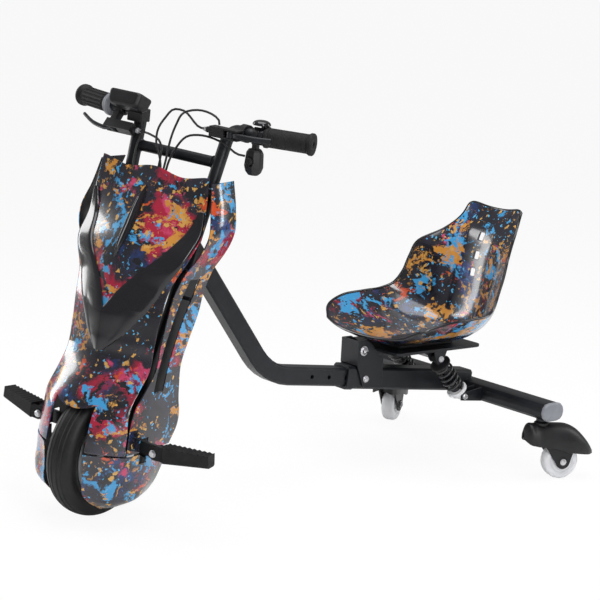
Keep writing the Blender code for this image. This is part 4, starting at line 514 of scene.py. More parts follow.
def pipes(name, lines, radius, place, finish, body, slot, stands_for="", roundness=8):
    """Round tubes along lines of points, made a mesh."""
    tube = strand(name, [[place @ Vector(p) for p in line] for line in lines], radius, roundness)
    curve = tube.data
    mesh = settled(tube)
    bpy.data.curves.remove(curve)
    return show(name, mesh, finish, body, slot, stands_for, 50)


def through(table, at):
    """Smooth values between the rows of a table whose first column is the station."""
    table = np.array(table, float)
    where = table[:, 0]
    slopes = np.gradient(table[:, 1:], where, axis=0)
    i = int(np.clip(np.searchsorted(where, at) - 1, 0, len(where) - 2))
    step = where[i + 1] - where[i]
    t = np.clip((at - where[i]) / step, 0, 1)
    h00, h10 = 2 * t**3 - 3 * t**2 + 1, t**3 - 2 * t**2 + t
    h01, h11 = -2 * t**3 + 3 * t**2, t**3 - t**2
    low, high = table[i, 1:], table[i + 1, 1:]
    return h00 * low + h10 * step * slopes[i] + h01 * high + h11 * step * slopes[i + 1]


def rounded_path(points, radii, steps=12):
    """The points' line with each inner corner replaced by an arc of its radius."""
    points = [Vector(p) for p in points]
    out = [points[0]]
    for i, radius in enumerate(radii, 1):
        a = (points[i - 1] - points[i]).normalized()
        b = (points[i + 1] - points[i]).normalized()
        half = a.angle(b) / 2
        reach = radius / math.tan(half)
        centre = points[i] + (a + b).normalized() * (radius / math.sin(half))
        start = points[i] + a * reach - centre
        turn = start.rotation_difference(points[i] + b * reach - centre)
        out += [centre + Quaternion().slerp(turn, k / steps) @ start for k in range(steps + 1)]
    out.append(points[-1])
    return out


# front wheel

BEAD = [(0.0845, 0.02), (0.0875, 0.0255), (0.0925, 0.028)]
TREAD_DEPTH = 0.026
GROOVES = (10.0, 12.5, 27.5, 30.0)  # degrees off the crown; each groove is two steps wide
WALL_LINES = ((0.0965, 0.02915), (0.1035, 0.0296))
HUB_HALF = [
    (0.0842, 0.0192), (0.0862, 0.025), (0.0846, 0.0262), (0.0815, 0.0255), (0.078, 0.0222),
    (0.07, 0.0208), (0.042, 0.0216), (0.04, 0.0232), (0.033, 0.0238), (0.029, 0.0345),
    (0.0262, 0.0358), (0.0078, 0.0358),
]


def tyre():
    """A round tread with four shallow grooves and fine moulded lines round each sidewall."""
    outline = [(r, -x) for r, x in BEAD]
    for i in range(73):
        turn = -90 + 2.5 * i
        a = math.radians(turn)
        groove = 0.0014 if abs(turn) in GROOVES else 0.0
        crown = TREAD_DEPTH * max(0.0, math.cos(a)) ** 0.66
        outline.append((TYRE_RADIUS - TREAD_DEPTH + crown - groove, 0.030 * math.sin(a)))
    outline += [(r, x) for r, x in reversed(BEAD)]
    form = bmesh.new()
    place = aim((0, 0, TYRE_RADIUS), LEFT)
    lathe(form, outline, place, 128)
    for side in (1, -1):
        for r, x in WALL_LINES:
            lathe(form, [(r - 0.0006, x * side), (r, (x + 0.00055) * side),
                         (r + 0.0006, x * side)], place, 128)
    show("tyre_look", close_up(form, FRONT), TYRE, "front_wheel", "tyre", "tyre", 40)


def hub():
    """The hub motor: cover screws in a ring and short ribs round each boss."""
    centre = Vector((0, 0, TYRE_RADIUS))
    form = bmesh.new()
    lathe(form, [(r, -x) for r, x in reversed(HUB_HALF)] + HUB_HALF, aim(centre, LEFT), 96)
    for side in (1, -1):
        for i in range(9):
            a = 2 * math.pi * i / 9
            at = centre + Vector((side * 0.0206, 0.0620 * math.cos(a), 0.0620 * math.sin(a)))
            turned(form, aim(at, (side, 0, 0)), [(0.0052, 0.0052, 0, 0.0012, 24),
                                                 (0.0036, 0.0033, 0.0012, 0.0034, 6)])
        for i in range(18):
            a = 2 * math.pi * (i + 0.5) / 18
            at = centre + Vector((side * 0.0222, 0.0500 * math.cos(a), 0.0500 * math.sin(a)))
            block(form, Matrix.Translation(at) @ Matrix.Rotation(a, 4, "X"),
                  (0.0010, 0.0065, 0.0011))
    show("hub_look", close_up(form, FRONT), CAST, "front_wheel", "hub", "hub_motor", 30)


def bolt(node, centre, reach, shank, head, body, place=BODY, axis=LEFT, dome=True):
    """A hexagon bolt with washers, and a nut with a domed end or with the thread's end."""
    form = bmesh.new()
    flats = head * 0.86
    parts = [(shank, shank, -reach, reach, 24),
             (head, head, -reach - 0.0012, -reach, 32),
             (flats, flats, -reach - 0.0042, -reach - 0.0012, 6),
             (head * 0.72, flats, -reach - 0.0050, -reach - 0.0042, 6),
             (head * 0.45, head * 0.50, -reach - 0.0051, -reach - 0.0046, 24),
             (head, head, reach, reach + 0.0012, 32),
             (flats, flats, reach + 0.0012, reach + 0.0040, 6)]
    if dome:
        parts += [(head * 0.74, head * 0.60, reach + 0.0040, reach + 0.0050, 24),
                  (head * 0.60, head * 0.28, reach + 0.0050, reach + 0.0058, 24)]
    else:
        parts.append((shank * 0.94, shank * 0.80, reach + 0.0040, reach + 0.0048, 20))
    turned(form, aim(centre, axis), parts)
    show(node + "_look", close_up(form, place), STEEL, body, "steel", node, 30)


def axle():
    form = bmesh.new()
    parts = [(0.0070, 0.0070, -0.0605, 0.0605, 28), (0.0098, 0.0098, 0.0366, 0.0414, 28),
             (0.0098, 0.0098, -0.0414, -0.0366, 28)]
    for side in (1, -1):
        # washer, nut, its chamfer and the thread's end
        for r, a, b, sides in ((0.0122, 0.0484, 0.0498, 40), (0.0118, 0.0498, 0.0566, 6),
                               (0.0098, 0.0566, 0.0575, 6), (0.0064, 0.0575, 0.0612, 24)):
            parts.append((r, r, *sorted((a * side, b * side)), sides))
    turned(form, aim((0, 0, TYRE_RADIUS), LEFT), parts)
    show("axle_look", close_up(form, FRONT), STEEL, "front_unit", "steel", "axle_and_nuts", 30)


# covers of the front unit

# Rows of the tables start with a height. FRONT_FACE goes on with the keel's y, the half width,
# the edge's y and the power of the curve between; the others with four (x, y) points round a side.
FRONT_FACE = [
    (0.153, -0.105, 0.105, -0.055, 2.5), (0.19, -0.1, 0.103, -0.05, 2.4),
    (0.235, -0.085, 0.1, -0.045, 2.2), (0.265, -0.063, 0.099, -0.025, 1.8),
    (0.3, -0.035, 0.1, -0.001, 1.45), (0.35, -0.027, 0.1, 0.008, 1.3),
    (0.4, -0.0235, 0.103, 0.015, 1.25), (0.45, -0.014, 0.108, 0.025, 1.25),
    (0.508, 0.001, 0.131, 0.041, 1.25), (0.55, 0.028, 0.134, 0.071, 1.3),
    (0.6, 0.059, 0.131, 0.08, 1.4), (0.652, 0.086, 0.1255, 0.088, 1.6),
]
SIDE_FACE = [
    (0.153, 0.106, -0.05, 0.1085, -0.012, 0.109, 0.03, 0.106, 0.07),
    (0.19, 0.104, -0.045, 0.1085, -0.01, 0.11, 0.035, 0.11, 0.085),
    (0.215, 0.1035, -0.041, 0.108, -0.007, 0.11, 0.035, 0.11, 0.087),
    (0.235, 0.103, -0.034, 0.1075, -0.003, 0.109, 0.035, 0.108, 0.085),
    (0.265, 0.103, -0.01, 0.1065, 0.015, 0.1075, 0.045, 0.1065, 0.084),
    (0.3, 0.1035, 0.014, 0.1055, 0.032, 0.1065, 0.055, 0.105, 0.085),
    (0.35, 0.104, 0.023, 0.1065, 0.045, 0.1085, 0.068, 0.11, 0.095),
    (0.4, 0.1075, 0.03, 0.11, 0.052, 0.114, 0.078, 0.118, 0.105),
    (0.45, 0.113, 0.04, 0.117, 0.06, 0.121, 0.082, 0.125, 0.109),
    (0.49, 0.128, 0.05, 0.13, 0.075, 0.131, 0.098, 0.131, 0.125),
    (0.51, 0.141, 0.055, 0.141, 0.08, 0.139, 0.108, 0.136, 0.14),
    (0.53, 0.15, 0.06, 0.15, 0.085, 0.148, 0.112, 0.144, 0.145),
    (0.552, 0.154, 0.067, 0.156, 0.09, 0.155, 0.117, 0.15, 0.148),
    (0.6, 0.1425, 0.081, 0.147, 0.1, 0.1475, 0.122, 0.146, 0.15),
    (0.648, 0.1315, 0.089, 0.134, 0.107, 0.1335, 0.128, 0.131, 0.156),
]
WHEEL_FACE = [
    (0.034, 0.05, -0.045, 0.06, -0.025, 0.062, 0.005, 0.056, 0.03),
    (0.05, 0.048, -0.072, 0.078, -0.05, 0.088, 0.0, 0.075, 0.046),
    (0.07, 0.047, -0.093, 0.086, -0.068, 0.098, 0.0, 0.085, 0.058),
    (0.1, 0.046, -0.098, 0.094, -0.07, 0.105, 0.0, 0.093, 0.068),
    (0.125, 0.046, -0.1, 0.099, -0.062, 0.108, 0.0, 0.098, 0.073),
    (0.15, 0.046, -0.104, 0.1035, -0.057, 0.109, 0.005, 0.1055, 0.07),
]
PEG_PIVOT = (0.141, -0.0065, 0.1615)
PEG_WINDOW = ((-0.0100, -0.030), (0.0100, -0.030), (0.0100, 0.018), (-0.0100, 0.018))
ARCH_RADIUS = 0.135
COVER_LOW, COVER_HIGH = 0.153, 0.652
SIDE_LOW, SIDE_HIGH = 0.1534, 0.648
WHEEL_LOW, WHEEL_HIGH = 0.034, 0.150
SLOT_LOW, SLOT_HIGH, SLOT_DEPTH = 0.262, 0.470, 0.025
LINING_DEPTH = 0.0016  # the inner wall starts just behind the 1.5 mm printed one


def front_y(z, x):
    keel, wide, y, power = through(FRONT_FACE, z)
    return keel + (y - keel) * (abs(x) / wide) ** power


def off_front(x, z, lift):
    """A point this far out from the front cover's face."""
    step = 0.003
    slope_x = (front_y(z, x + step) - front_y(z, x - step)) / (2 * step)
    slope_z = (front_y(z + step, x) - front_y(z - step, x)) / (2 * step)
    out = Vector((slope_x, -1.0, slope_z)).normalized()
    return Vector((x, front_y(z, x), z)) + out * lift


def side_point(face, z, side, share):
    values = through(face, z)
    table = [(i, values[2 * i], values[2 * i + 1]) for i in range(4)]
    x, y = through(table, 3 * share)
    return Vector((side * x, y, z))


def arch():
    """The wheel's opening in the front cover."""
    form = bmesh.new()
    bmesh.ops.create_cone(form, cap_ends=True, segments=144, radius1=ARCH_RADIUS,
                          radius2=ARCH_RADIUS, depth=0.092, matrix=aim((0, 0, TYRE_RADIUS), LEFT))
    return cutter(form, FRONT)


def peg_window(side):
    y, z = PEG_PIVOT[1:]
    form = bmesh.new()
    slab(form, [(side * 0.02, y + a, z + b) for a, b in PEG_WINDOW], (side * 0.12, 0, 0))
    return cutter(form, FRONT)


def leg_slot(side):
    """The long slot of a side cover, along the fork leg."""
    form = bmesh.new()
    bmesh.ops.create_cube(form, size=2.0)
    for v in form.verts:
        z = SLOT_LOW if v.co.z < 0 else SLOT_HIGH
        y = leg_y(z) - 0.026 + (SLOT_DEPTH if v.co.y > 0 else 0.0)
        v.co = Vector((side * (0.150 if v.co.x > 0 else 0.090), y, z))
    return cutter(form, FRONT)


def cover(name, grid, at, out, openings):
    """A printed outer wall and a plain black inner one, with the same openings in both."""
    for layer, depth, wall, finish, slot in (
            ("look", 0.0, 0.0015, PRINT, "splatter_cover"),
            ("lining", LINING_DEPTH, SKIN - LINING_DEPTH, PLASTIC, "black_plastic")):
        form = sheet(*grid, at, out)
        form.normal_update()
        for v in form.verts:
            v.co -= v.normal * depth
        mesh = walled(form, FRONT, wall, [opening() for opening in openings], 0.0004)
        show("%s_%s" % (name, layer), mesh, finish, "front_unit", slot,
             name if layer == "look" else "", 40)


def covers():
    def front_at(u, v):
        """The top edge rises to a low crest in the middle."""
        z = between(COVER_LOW, COVER_HIGH, v)
        x = through(FRONT_FACE, z)[1] * u
        wave = 0.005 * math.cos(2 * math.pi * min(1.0, abs(x) / 0.13))
        crest = wave * max(0.0, (z - 0.60) / (COVER_HIGH - 0.60))
        return Vector((x, front_y(z, x), z + crest))

    cover("fairing_front", (84, 150), front_at, AHEAD, [arch])
    for name, side in SIDES:
        def side_at(u, v, side=side):
            return side_point(SIDE_FACE, between(SIDE_LOW, SIDE_HIGH, v), side, (u + 1) / 2)

        def low_at(u, v, side=side):
            return side_point(WHEEL_FACE, between(WHEEL_LOW, WHEEL_HIGH, v), side, (u + 1) / 2)

        window, notch = partial(leg_slot, side), partial(peg_window, side)
        cover("side_panel_" + name, (40, 150), side_at, LEFT * side, [window, notch])
        cover("wheel_cover_" + name, (48, 44), low_at, LEFT * side, [notch])


# height, and the inner and outer edge as shares of the cover's half width
TRIM = [
    (0.325, 0.0, 0.1), (0.36, 0.0, 0.45), (0.405, 0.0, 0.74), (0.435, 0.16, 0.87),
    (0.465, 0.36, 0.93), (0.495, 0.54, 0.96), (0.52, 0.66, 0.98), (0.548, 0.765, 0.99),
    (0.575, 0.85, 0.995), (0.595, 0.915, 0.995),
]
# height, half width and lift off the cover
BLADE = [
    (0.496, 0.0012, 0.003), (0.52, 0.0062, 0.01), (0.548, 0.0084, 0.014),
    (0.575, 0.0078, 0.015), (0.6, 0.0052, 0.012), (0.62, 0.001, 0.004),
]


def trim():
    """The V on the front cover, with a ridge down its point, and the blade over it."""
    heights, inners, outers = zip(*TRIM)
    form = bmesh.new()
    for side in (1, -1):
        def at(u, v, side=side):
            z = between(heights[0], heights[-1], v)
            inner = float(np.interp(z, heights, inners))
            outer = float(np.interp(z, heights, outers))
            wide = through(FRONT_FACE, z)[1]
            t = (u + 1) / 2
            x = side * wide * (inner + (outer - inner) * t)
            rim = 1 - abs(u) ** 10 if inner > 0.001 else 1 - t ** 10
            ridge = 0.0030 * max(0.0, 1 - t * 1.6) * min(1.0, max(0.0, (0.425 - z) / 0.03))
            return off_front(x, z, 0.0008 + 0.0038 * rim + ridge)

        absorb(form, sheet(28, 120, at, AHEAD))
    show("chevron_look", walled(form, FRONT, 0.0014), GLOSS, "front_unit", "gloss_black",
         "chevron_trim", 40)

    def fin_at(u, v):
        z = between(BLADE[0][0], BLADE[-1][0], v)
        half, high = through(BLADE, z)
        return off_front(u * half, z, 0.0004 + high * (1 - abs(u) ** 1.5))

    show("blade_look", walled(sheet(20, 80, fin_at, AHEAD), FRONT, 0.0010), GLOSS, "front_unit",
         "gloss_black", "hood_blade", 60)


# handlebar and controls

def bar_line(distance, side):
    """A point of the bar, this far out from the start of the grip, and the bar's direction."""
    start = Vector((*GRIP_START, BAR_HEIGHT))
    outer = (Vector((*GRIP_END, BAR_HEIGHT)) - start).normalized()
    kink = start - outer * BAR_KINK
    inner = (kink - leg_point(BAR_HEIGHT, 1)).normalized()
    if distance > -BAR_KINK:
        point, along = start + outer * distance, outer
    else:
        point, along = kink + inner * (distance + BAR_KINK), inner
    return Vector((side * point.x, point.y, point.z)), Vector((side * along.x, along.y, 0))


GRIP_LENGTH = (Vector(GRIP_END) - Vector(GRIP_START)).length
CROSS_Z = 0.675


def handlebar():
    lines = []
    for side in (1, -1):
        corners = [leg_point(0.6224, side), leg_point(BAR_HEIGHT, side),
                   bar_line(-BAR_KINK, side)[0], bar_line(GRIP_LENGTH - 0.006, side)[0]]
        lines.append(rounded_path(corners, [0.026, 0.020]))
    pipes("handlebar_look", lines, BAR_RADIUS, FRONT, PAINT, "front_unit", "black_frame",
          "handlebar")
    pipes("cross_tube", [[leg_point(CROSS_Z, -1), leg_point(CROSS_Z, 1)]], 0.0105, FRONT, PAINT,
          "front_unit", "black_frame")
    form = bmesh.new()
    for side in (1, -1):
        # weld round each end of the cross tube, and the sleeve joint over each leg
        end = leg_point(CROSS_Z, side) - Vector((side * 0.0118, 0, 0))
        lathe(form, [(0.0098, -0.0012), (0.0126, -0.0004), (0.0120, 0.0022), (0.0098, 0.0030)],
              aim(end, (-side, 0, 0)), 36)
        foot = leg_point(0.6235, side)
        lathe(form, [(0.0118, 0.0), (0.0136, 0.0), (0.0136, 0.0035), (0.0118, 0.0055)],
              aim(foot, leg_point(0.7, side) - foot), 36)
    show("bar_welds", close_up(form, FRONT), PAINT, "front_unit", "black_frame")


def grip_outline(length, radius, bore, flange, collar, pitch):
    """Fine ribs between a collar and a raised end with a small hole in it."""
    points = [(bore, 0.0), (radius + 0.0012, 0.0004), (radius + 0.0016, 0.0014),
              (radius + 0.0016, collar - 0.001), (radius + 0.0008, collar)]
    for i in range(int((length - collar - 0.0125) / pitch)):
        s = collar + 0.0015 + pitch * i
        points += [(radius - 0.0006, s), (radius + 0.0001, s + pitch * 0.25),
                   (radius + 0.0001, s + pitch * 0.6), (radius - 0.0006, s + pitch * 0.85)]
    return points + [
        (flange - 0.0008, length - 0.0082), (flange, length - 0.0070), (flange, length - 0.0022),
        (flange - 0.0012, length - 0.0006), (flange - 0.0035, length), (0.0075, length),
        (0.0055, length - 0.0012), (0.0055, length - 0.0030), (bore, length - 0.0030)]


def grips():
    form = bmesh.new()
    start = 0.0125
    lathe(form, grip_outline(GRIP_LENGTH - start, 0.0178, 0.0124, 0.0205, 0.007, 0.0030),
          aim(bar_line(start, 1)[0], bar_line(0, 1)[1]))
    show("grip_left_look", close_up(form, FRONT), RUBBER, "front_unit", "rubber", "grip_left", 45)
    start = 0.0035
    axis = bar_line(0, -1)[1]
    place = aim(bar_line(start, -1)[0], axis)
    form = bmesh.new()
    lathe(form, grip_outline(GRIP_LENGTH - start, 0.0174, 0.0128, 0.0212, 0.006, 0.0042), place)
    # long flutes between the ribs, where the palm turns the grip
    for i in range(16):
        spot = turn_z(360 * i / 16) @ Matrix.Translation((0.0176, 0, 0.046))
        block(form, place @ spot, (0.0007, 0.0014, 0.034))
    show("throttle_grip_look", close_up(form, FRONT), RUBBER, "throttle", "rubber",
         "throttle_grip", 45)
    form = bmesh.new()
    lathe(form, [(0.0124, -0.0100), (0.0190, -0.0100), (0.0210, -0.0092), (0.0226, -0.0076),
                 (0.0228, -0.0060), (0.0224, -0.0052), (0.0224, -0.0040), (0.0228, -0.0032),
                 (0.0228, 0.0004), (0.0222, 0.0018), (0.0212, 0.0026), (0.0124, 0.0026)],
          aim(bar_line(0, -1)[0], axis))
    show("throttle_housing_look", close_up(form, FRONT), GREY, "front_unit", "black_plastic",
         "throttle_housing", 35)


def bell():
    """A clamp round the bar, a short post and the dome."""
    centre, out = bar_line(0.0072, 1)
    form = bmesh.new()
    lathe(form, [(0.0124, -0.0045), (0.0156, -0.0045), (0.0162, -0.0036), (0.0162, 0.0036),
                 (0.0156, 0.0045), (0.0124, 0.0045)], aim(centre, out), 48)
    post = centre + UP * 0.014
    turned(form, aim(post, UP), [(0.0042, 0.0042, -0.003, 0.0075, 24)])
    top = post - out * 0.004
    dome = [(0.0, 0.0062), (0.0158, 0.0062), (0.0167, 0.0070), (0.0168, 0.0082)]
    for i in range(9):
        a = math.radians(8 + 82 * i / 8)
        dome.append((0.0166 * math.cos(a) ** 0.8 if i < 8 else 0.0, 0.0080 + 0.0078 * math.sin(a)))
    lathe(form, dome, aim(top, UP), 56, closed=False)
    turned(form, aim(top, UP), [(0.0030, 0.0022, 0.0150, 0.0160, 20)])
    show("bell_look", close_up(form, FRONT), GLOSS, "front_unit", "gloss_black", "bell", 35)


def smooth_path(points, count):
    """Equal steps through the points; the first and last straight pieces stay as given."""
    points = np.array([tuple(p) for p in points], float)
    reach = np.concatenate([[0], np.cumsum(np.linalg.norm(np.diff(points, axis=0), axis=1))])
    table = np.column_stack([reach, points])
    inner = [tuple(through(table, s)) for s in np.linspace(reach[1], reach[-2], count)]
    return [tuple(points[0])] + inner + [tuple(points[-1])]


# side, droop and reach forward of each brake lever
LEVERS = {"left": (1, math.radians(2), 0.0245), "right": (-1, math.radians(50), 0.0345)}
CABLE_RADIUS = 0.0021
PLUG_TOP = -0.204 + 0.002 + GAP + 0.178 + GAP  # along the steering axis


def lever_cable_end(name):
    """Where the cable meets the lever, and the way it leaves."""
    side, droop, reach = LEVERS[name]
    centre = bar_line(-0.0290, side)[0]
    forward = Vector((0, -math.cos(droop), -math.sin(droop)))
    out = Vector((side, 0, 0))
    return centre + out * -0.052 + forward * (reach + 0.009), -out


def plug(x):
    """The last straight piece of a cable, down into the plug on the controller."""
    return [fork_point(x, -0.093, PLUG_TOP + 0.025), fork_point(x, -0.093, PLUG_TOP)]


def cable(name, points, plug_x):
    line = [FRONT @ Vector(p) for p in smooth_path(points + plug(plug_x), 34)]
    obj = strand(name + "_look", [line], CABLE_RADIUS, 5)
    obj.data.materials.append(PLASTIC.material)
    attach(obj, "front_unit")
    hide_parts(name)
    length = sum((b - a).length for a, b in zip(line, line[1:]))
    tuple(line[0])


def cables():
    """Each cable from its lever, switch or housing over the bar and down behind the cover."""
    ends = {}
    form = bmesh.new()
    for name in LEVERS:
        end, away = lever_cable_end(name)
        ends[name] = [end + away * 0.0184, end + away * 0.025]
        # steel ferrule and barrel adjuster where a cable meets its lever
        turned(form, aim(end, away), [(0.0050, 0.0050, 0.0095, 0.0125, 24),
                                      (0.0038, 0.0038, 0.0125, 0.0160, 24),
                                      (0.0036, 0.0027, 0.0160, 0.0186, 24)])
    show("ferrules", close_up(form, FRONT), STEEL, "front_unit", "steel")
    cable("cable_brake_left", ends["left"] + [
        (0.0307, 0.112, 0.7633), (0.0144, 0.108, 0.7623), (-0.0024, 0.107, 0.7447),
        (-0.0182, 0.107, 0.7177), (-0.0177, 0.106, 0.6935), (-0.0060, 0.106, 0.6677),
        (-0.0005, 0.104, 0.650), (-0.0010, 0.101, 0.620)], -0.003)
    cable("cable_brake_switch", [
        (0.1042, 0.1301, 0.7479), (0.1030, 0.1290, 0.756), (0.0930, 0.1210, 0.7655),
        (0.0764, 0.1130, 0.7700), (0.0426, 0.104, 0.7616), (0.0177, 0.115, 0.7352),
        (0.0047, 0.118, 0.7028), (0.0039, 0.112, 0.669), (0.0056, 0.105, 0.650),
        (0.0050, 0.101, 0.620)], 0.004)
    start = bar_line(-0.0040, 1)[0] + Vector((-0.0186, -0.004, -0.040))
    cable("cable_horn", [
        start, start + Vector((-0.010, -0.006, 0.001)), (0.1219, 0.126, 0.7170),
        (0.0704, 0.115, 0.7242), (0.0479, 0.113, 0.7183), (0.0225, 0.113, 0.6907),
        (0.0135, 0.109, 0.667), (0.0118, 0.105, 0.650), (0.0112, 0.101, 0.620)], 0.011)
    cable("cable_brake_right", ends["right"] + [
        (-0.0400, 0.120, 0.7035), (-0.0240, 0.119, 0.6990), (-0.0130, 0.117, 0.6850),
        (-0.0100, 0.112, 0.6680), (-0.0070, 0.105, 0.650), (-0.0072, 0.101, 0.620)], -0.010)
    cable("cable_throttle", [
        (-0.0845, 0.1380, 0.7346), (-0.0843, 0.1390, 0.722), (-0.0839, 0.1390, 0.702),
        (-0.0830, 0.1300, 0.674), (-0.0750, 0.1150, 0.642), (-0.0500, 0.1000, 0.615),
        (-0.0300, 0.0970, 0.595)], -0.018)


DISPLAY_MIDDLE = Vector((-0.1105, 0.1300, 0.7570))
DISPLAY_FACES = Vector((0, 0.40, 0.917)).normalized()


def display_face():
    """Dark glass of the battery gauge with its row of lamps."""
    turn = Matrix((LEFT, DISPLAY_FACES.cross(LEFT), DISPLAY_FACES)).transposed().to_4x4()
    place = Matrix.Translation(DISPLAY_MIDDLE + DISPLAY_FACES * 0.0122) @ turn
    form = bmesh.new()
    block(form, place, (0.0292, 0.0137, 0.0006))
    show("display_glass", close_up(form, FRONT), LENS, "front_unit", "black_plastic")
    form = bmesh.new()
    for i in range(5):
        spot = place @ Matrix.Translation((-0.016 + 0.008 * i, 0.003, 0.0006))
        block(form, spot, (0.0026, 0.0014, 0.0003))
    show("display_lamps", close_up(form, FRONT), GREY, "front_unit", "grey_plastic")


# seat

# share of the way from lip to top, half width, y and z in the middle, y and z at the rim
SEAT_FORM = [
    (0.0, 0.122, 0.634, 0.287, 0.648, 0.3), (0.1, 0.152, 0.662, 0.276, 0.672, 0.318),
    (0.22, 0.169, 0.72, 0.267, 0.722, 0.333), (0.36, 0.172, 0.8, 0.2645, 0.79, 0.338),
    (0.48, 0.168, 0.868, 0.268, 0.834, 0.342), (0.56, 0.158, 0.912, 0.29, 0.86, 0.354),
    (0.64, 0.15, 0.93, 0.338, 0.878, 0.38), (0.73, 0.147, 0.941, 0.396, 0.893, 0.415),
    (0.8, 0.139, 0.951, 0.434, 0.909, 0.448), (0.87, 0.106, 0.963, 0.472, 0.953, 0.477),
    (0.93, 0.087, 0.984, 0.504, 0.983, 0.506), (1.0, 0.079, 1.01, 0.532, 1.0, 0.5455),
]


SEAT_SLOTS = ((0.961, 0.4726), (0.950, 0.432), (0.936, 0.396))
SEAT_STEP_X = 0.043  # half width of the raised band down the back


def clipped(value):
    return min(1.0, max(0.0, value))


def seat_at(u, v):
    s = (v + 1) / 2
    width, my, mz, ry, rz = through(SEAT_FORM, s)
    a = abs(u)
    k = a ** 2.4
    y = my + (ry - my) * k
    z = mz + (rz - mz) * k
    z -= 0.011 * a ** 9 * max(0.0, (s - 0.92) / 0.08) ** 2
    step = 1 / (1 + math.exp(min(60.0, (a * width - SEAT_STEP_X) * 900)))
    y += 0.004 * step * clipped((s - 0.55) / 0.1) * clipped((0.9 - s) / 0.08)
    return Vector((u * width, y, z))


def seat():
    slots = []
    for y, z in SEAT_SLOTS:
        hole = bmesh.new()
        block(hole, Matrix.Translation((0, y, z)), (0.0075, 0.03, 0.0085))
        soften(hole, 0.0025, 50, 3)
        slots.append(cutter(hole, BODY))
    mesh = walled(sheet(96, 150, seat_at, Vector((0, -0.6, 0.8))), BODY, 0.0045, slots, 0.0011)
    show("seat_look", mesh, SEAT_PRINT, "seat", "splatter_cover", "seat_shell", 45)
    rim = [seat_at(2 * i / 40 - 1, 1) for i in range(40)]
    rim += [seat_at(1, 1 - 2 * i / 90) for i in range(90)]
    rim += [seat_at(1 - 2 * i / 60, -1) for i in range(60)]
    rim += [seat_at(-1, 2 * i / 90 - 1) for i in range(91)]
    drop = Vector((0, 0.0012, -0.0018))
    pipes("seat_rim", [[p + drop for p in rim]], 0.0031, BODY, GLOSS, "seat", "gloss_black",
          roundness=4)
    form = bmesh.new()
    block(form, Matrix.Translation((0, 0.775, 0.2622)), (0.055, 0.075, 0.0037))
    soften(form, 0.0020, 50)
    show("seat_pad", close_up(form, BODY), PLASTIC, "seat", "black_plastic")


# shocks

SHOCK_TOP = Vector((0, 0.792, 0.235))
SHOCK_LOW = Vector((0, 0.869, 0.146))
SHOCK_X = 0.070
SHOCK_BOLT = (0.0040, 0.0065)  # shank and head
SPRING_SEAT = 0.0125 + 0.0105  # from an eye's middle to the cup
SPRING_RADIUS, SPRING_WIRE = 0.0170, 0.0026
SPRING_TURNS, SPRING_STEPS = 5, 32
SPRING_PRESSED = 0.0075  # how much the seat's travel takes off its height
# first and last radius, start and end, from the eye's middle
SHOCK_CUP = [(0.0086, 0.0086, 0.004, 0.014), (0.017, 0.0218, 0.014, 0.0166),
             (0.0222, 0.0222, 0.0166, 0.02), (0.0222, 0.02, 0.02, 0.0226)]
SHOCK_EYE = [(0.0046, -0.009), (0.009, -0.009), (0.009, 0.009), (0.0046, 0.009)]


def shocks():
    """Two shocks: the tube and lower cup, the rod and upper cup, and the spring between."""
    axis = (SHOCK_TOP - SHOCK_LOW).normalized()
    across = axis.cross(LEFT)
    h = (SHOCK_TOP - SHOCK_LOW).length
    start, end = SPRING_SEAT + SPRING_WIRE + GAP, h - SPRING_SEAT - SPRING_WIRE - GAP
    tall = end - start + 2 * SPRING_WIRE
    for name, side in SIDES:
        base = SHOCK_LOW + Vector((side * SHOCK_X, 0, 0))
        along = aim(base, axis)
        form = bmesh.new()
        turned(form, along, [(0.0118, 0.0112, 0.0226, 0.0275), (0.0095, 0.0095, 0.0275, 0.0665),
                             (0.0095, 0.0086, 0.0665, 0.0680)])
        show("shock_tube_" + name, close_up(form, BODY), GLOSS, "shock_low_" + name,
             "gloss_black")
        form = bmesh.new()
        turned(form, along, SHOCK_CUP)
        lathe(form, SHOCK_EYE, aim(base, LEFT), 36)
        show("shock_body_%s_look" % name, close_up(form, BODY), NYLON, "shock_low_" + name, "hub",
             "shock_body_" + name)
        form = bmesh.new()
        turned(form, along, [(r2, r1, h - b, h - a) for r1, r2, a, b in SHOCK_CUP])
        turned(form, along, [(0.0125, 0.0140, h - 0.0262, h - 0.0226),
                             (0.0050, 0.0050, 0.048, h - 0.0262, 24)])
        lathe(form, SHOCK_EYE, aim(base + axis * h, LEFT), 36)
        show("shock_rod_%s_look" % name, close_up(form, BODY), PLASTIC, "shock_top_" + name,
             "steel", "shock_rod_" + name)
        line = []
        for i in range(SPRING_TURNS * SPRING_STEPS + 1):
            a = 2 * math.pi * i / SPRING_STEPS
            p = base + axis * (start + (end - start) * i / (SPRING_TURNS * SPRING_STEPS))
            line.append(p + (LEFT * math.cos(a) + across * math.sin(a)) * SPRING_RADIUS)
        spring = pipes("spring_%s_look" % name, [line], SPRING_WIRE, BODY, WIRE,
                       "shock_low_" + name, "spring_paint", "shock_spring_" + name, 5)
        foot = BODY @ (base + axis * (start - SPRING_WIRE))
        (tall - SPRING_PRESSED) / tall
        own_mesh(spring)
        bolt("shock_bolt_low_" + name, base, 0.0138, *SHOCK_BOLT, "frame")
    bolt("shock_bolt_upper", SHOCK_TOP, 0.0833, *SHOCK_BOLT, "seat")


# casters

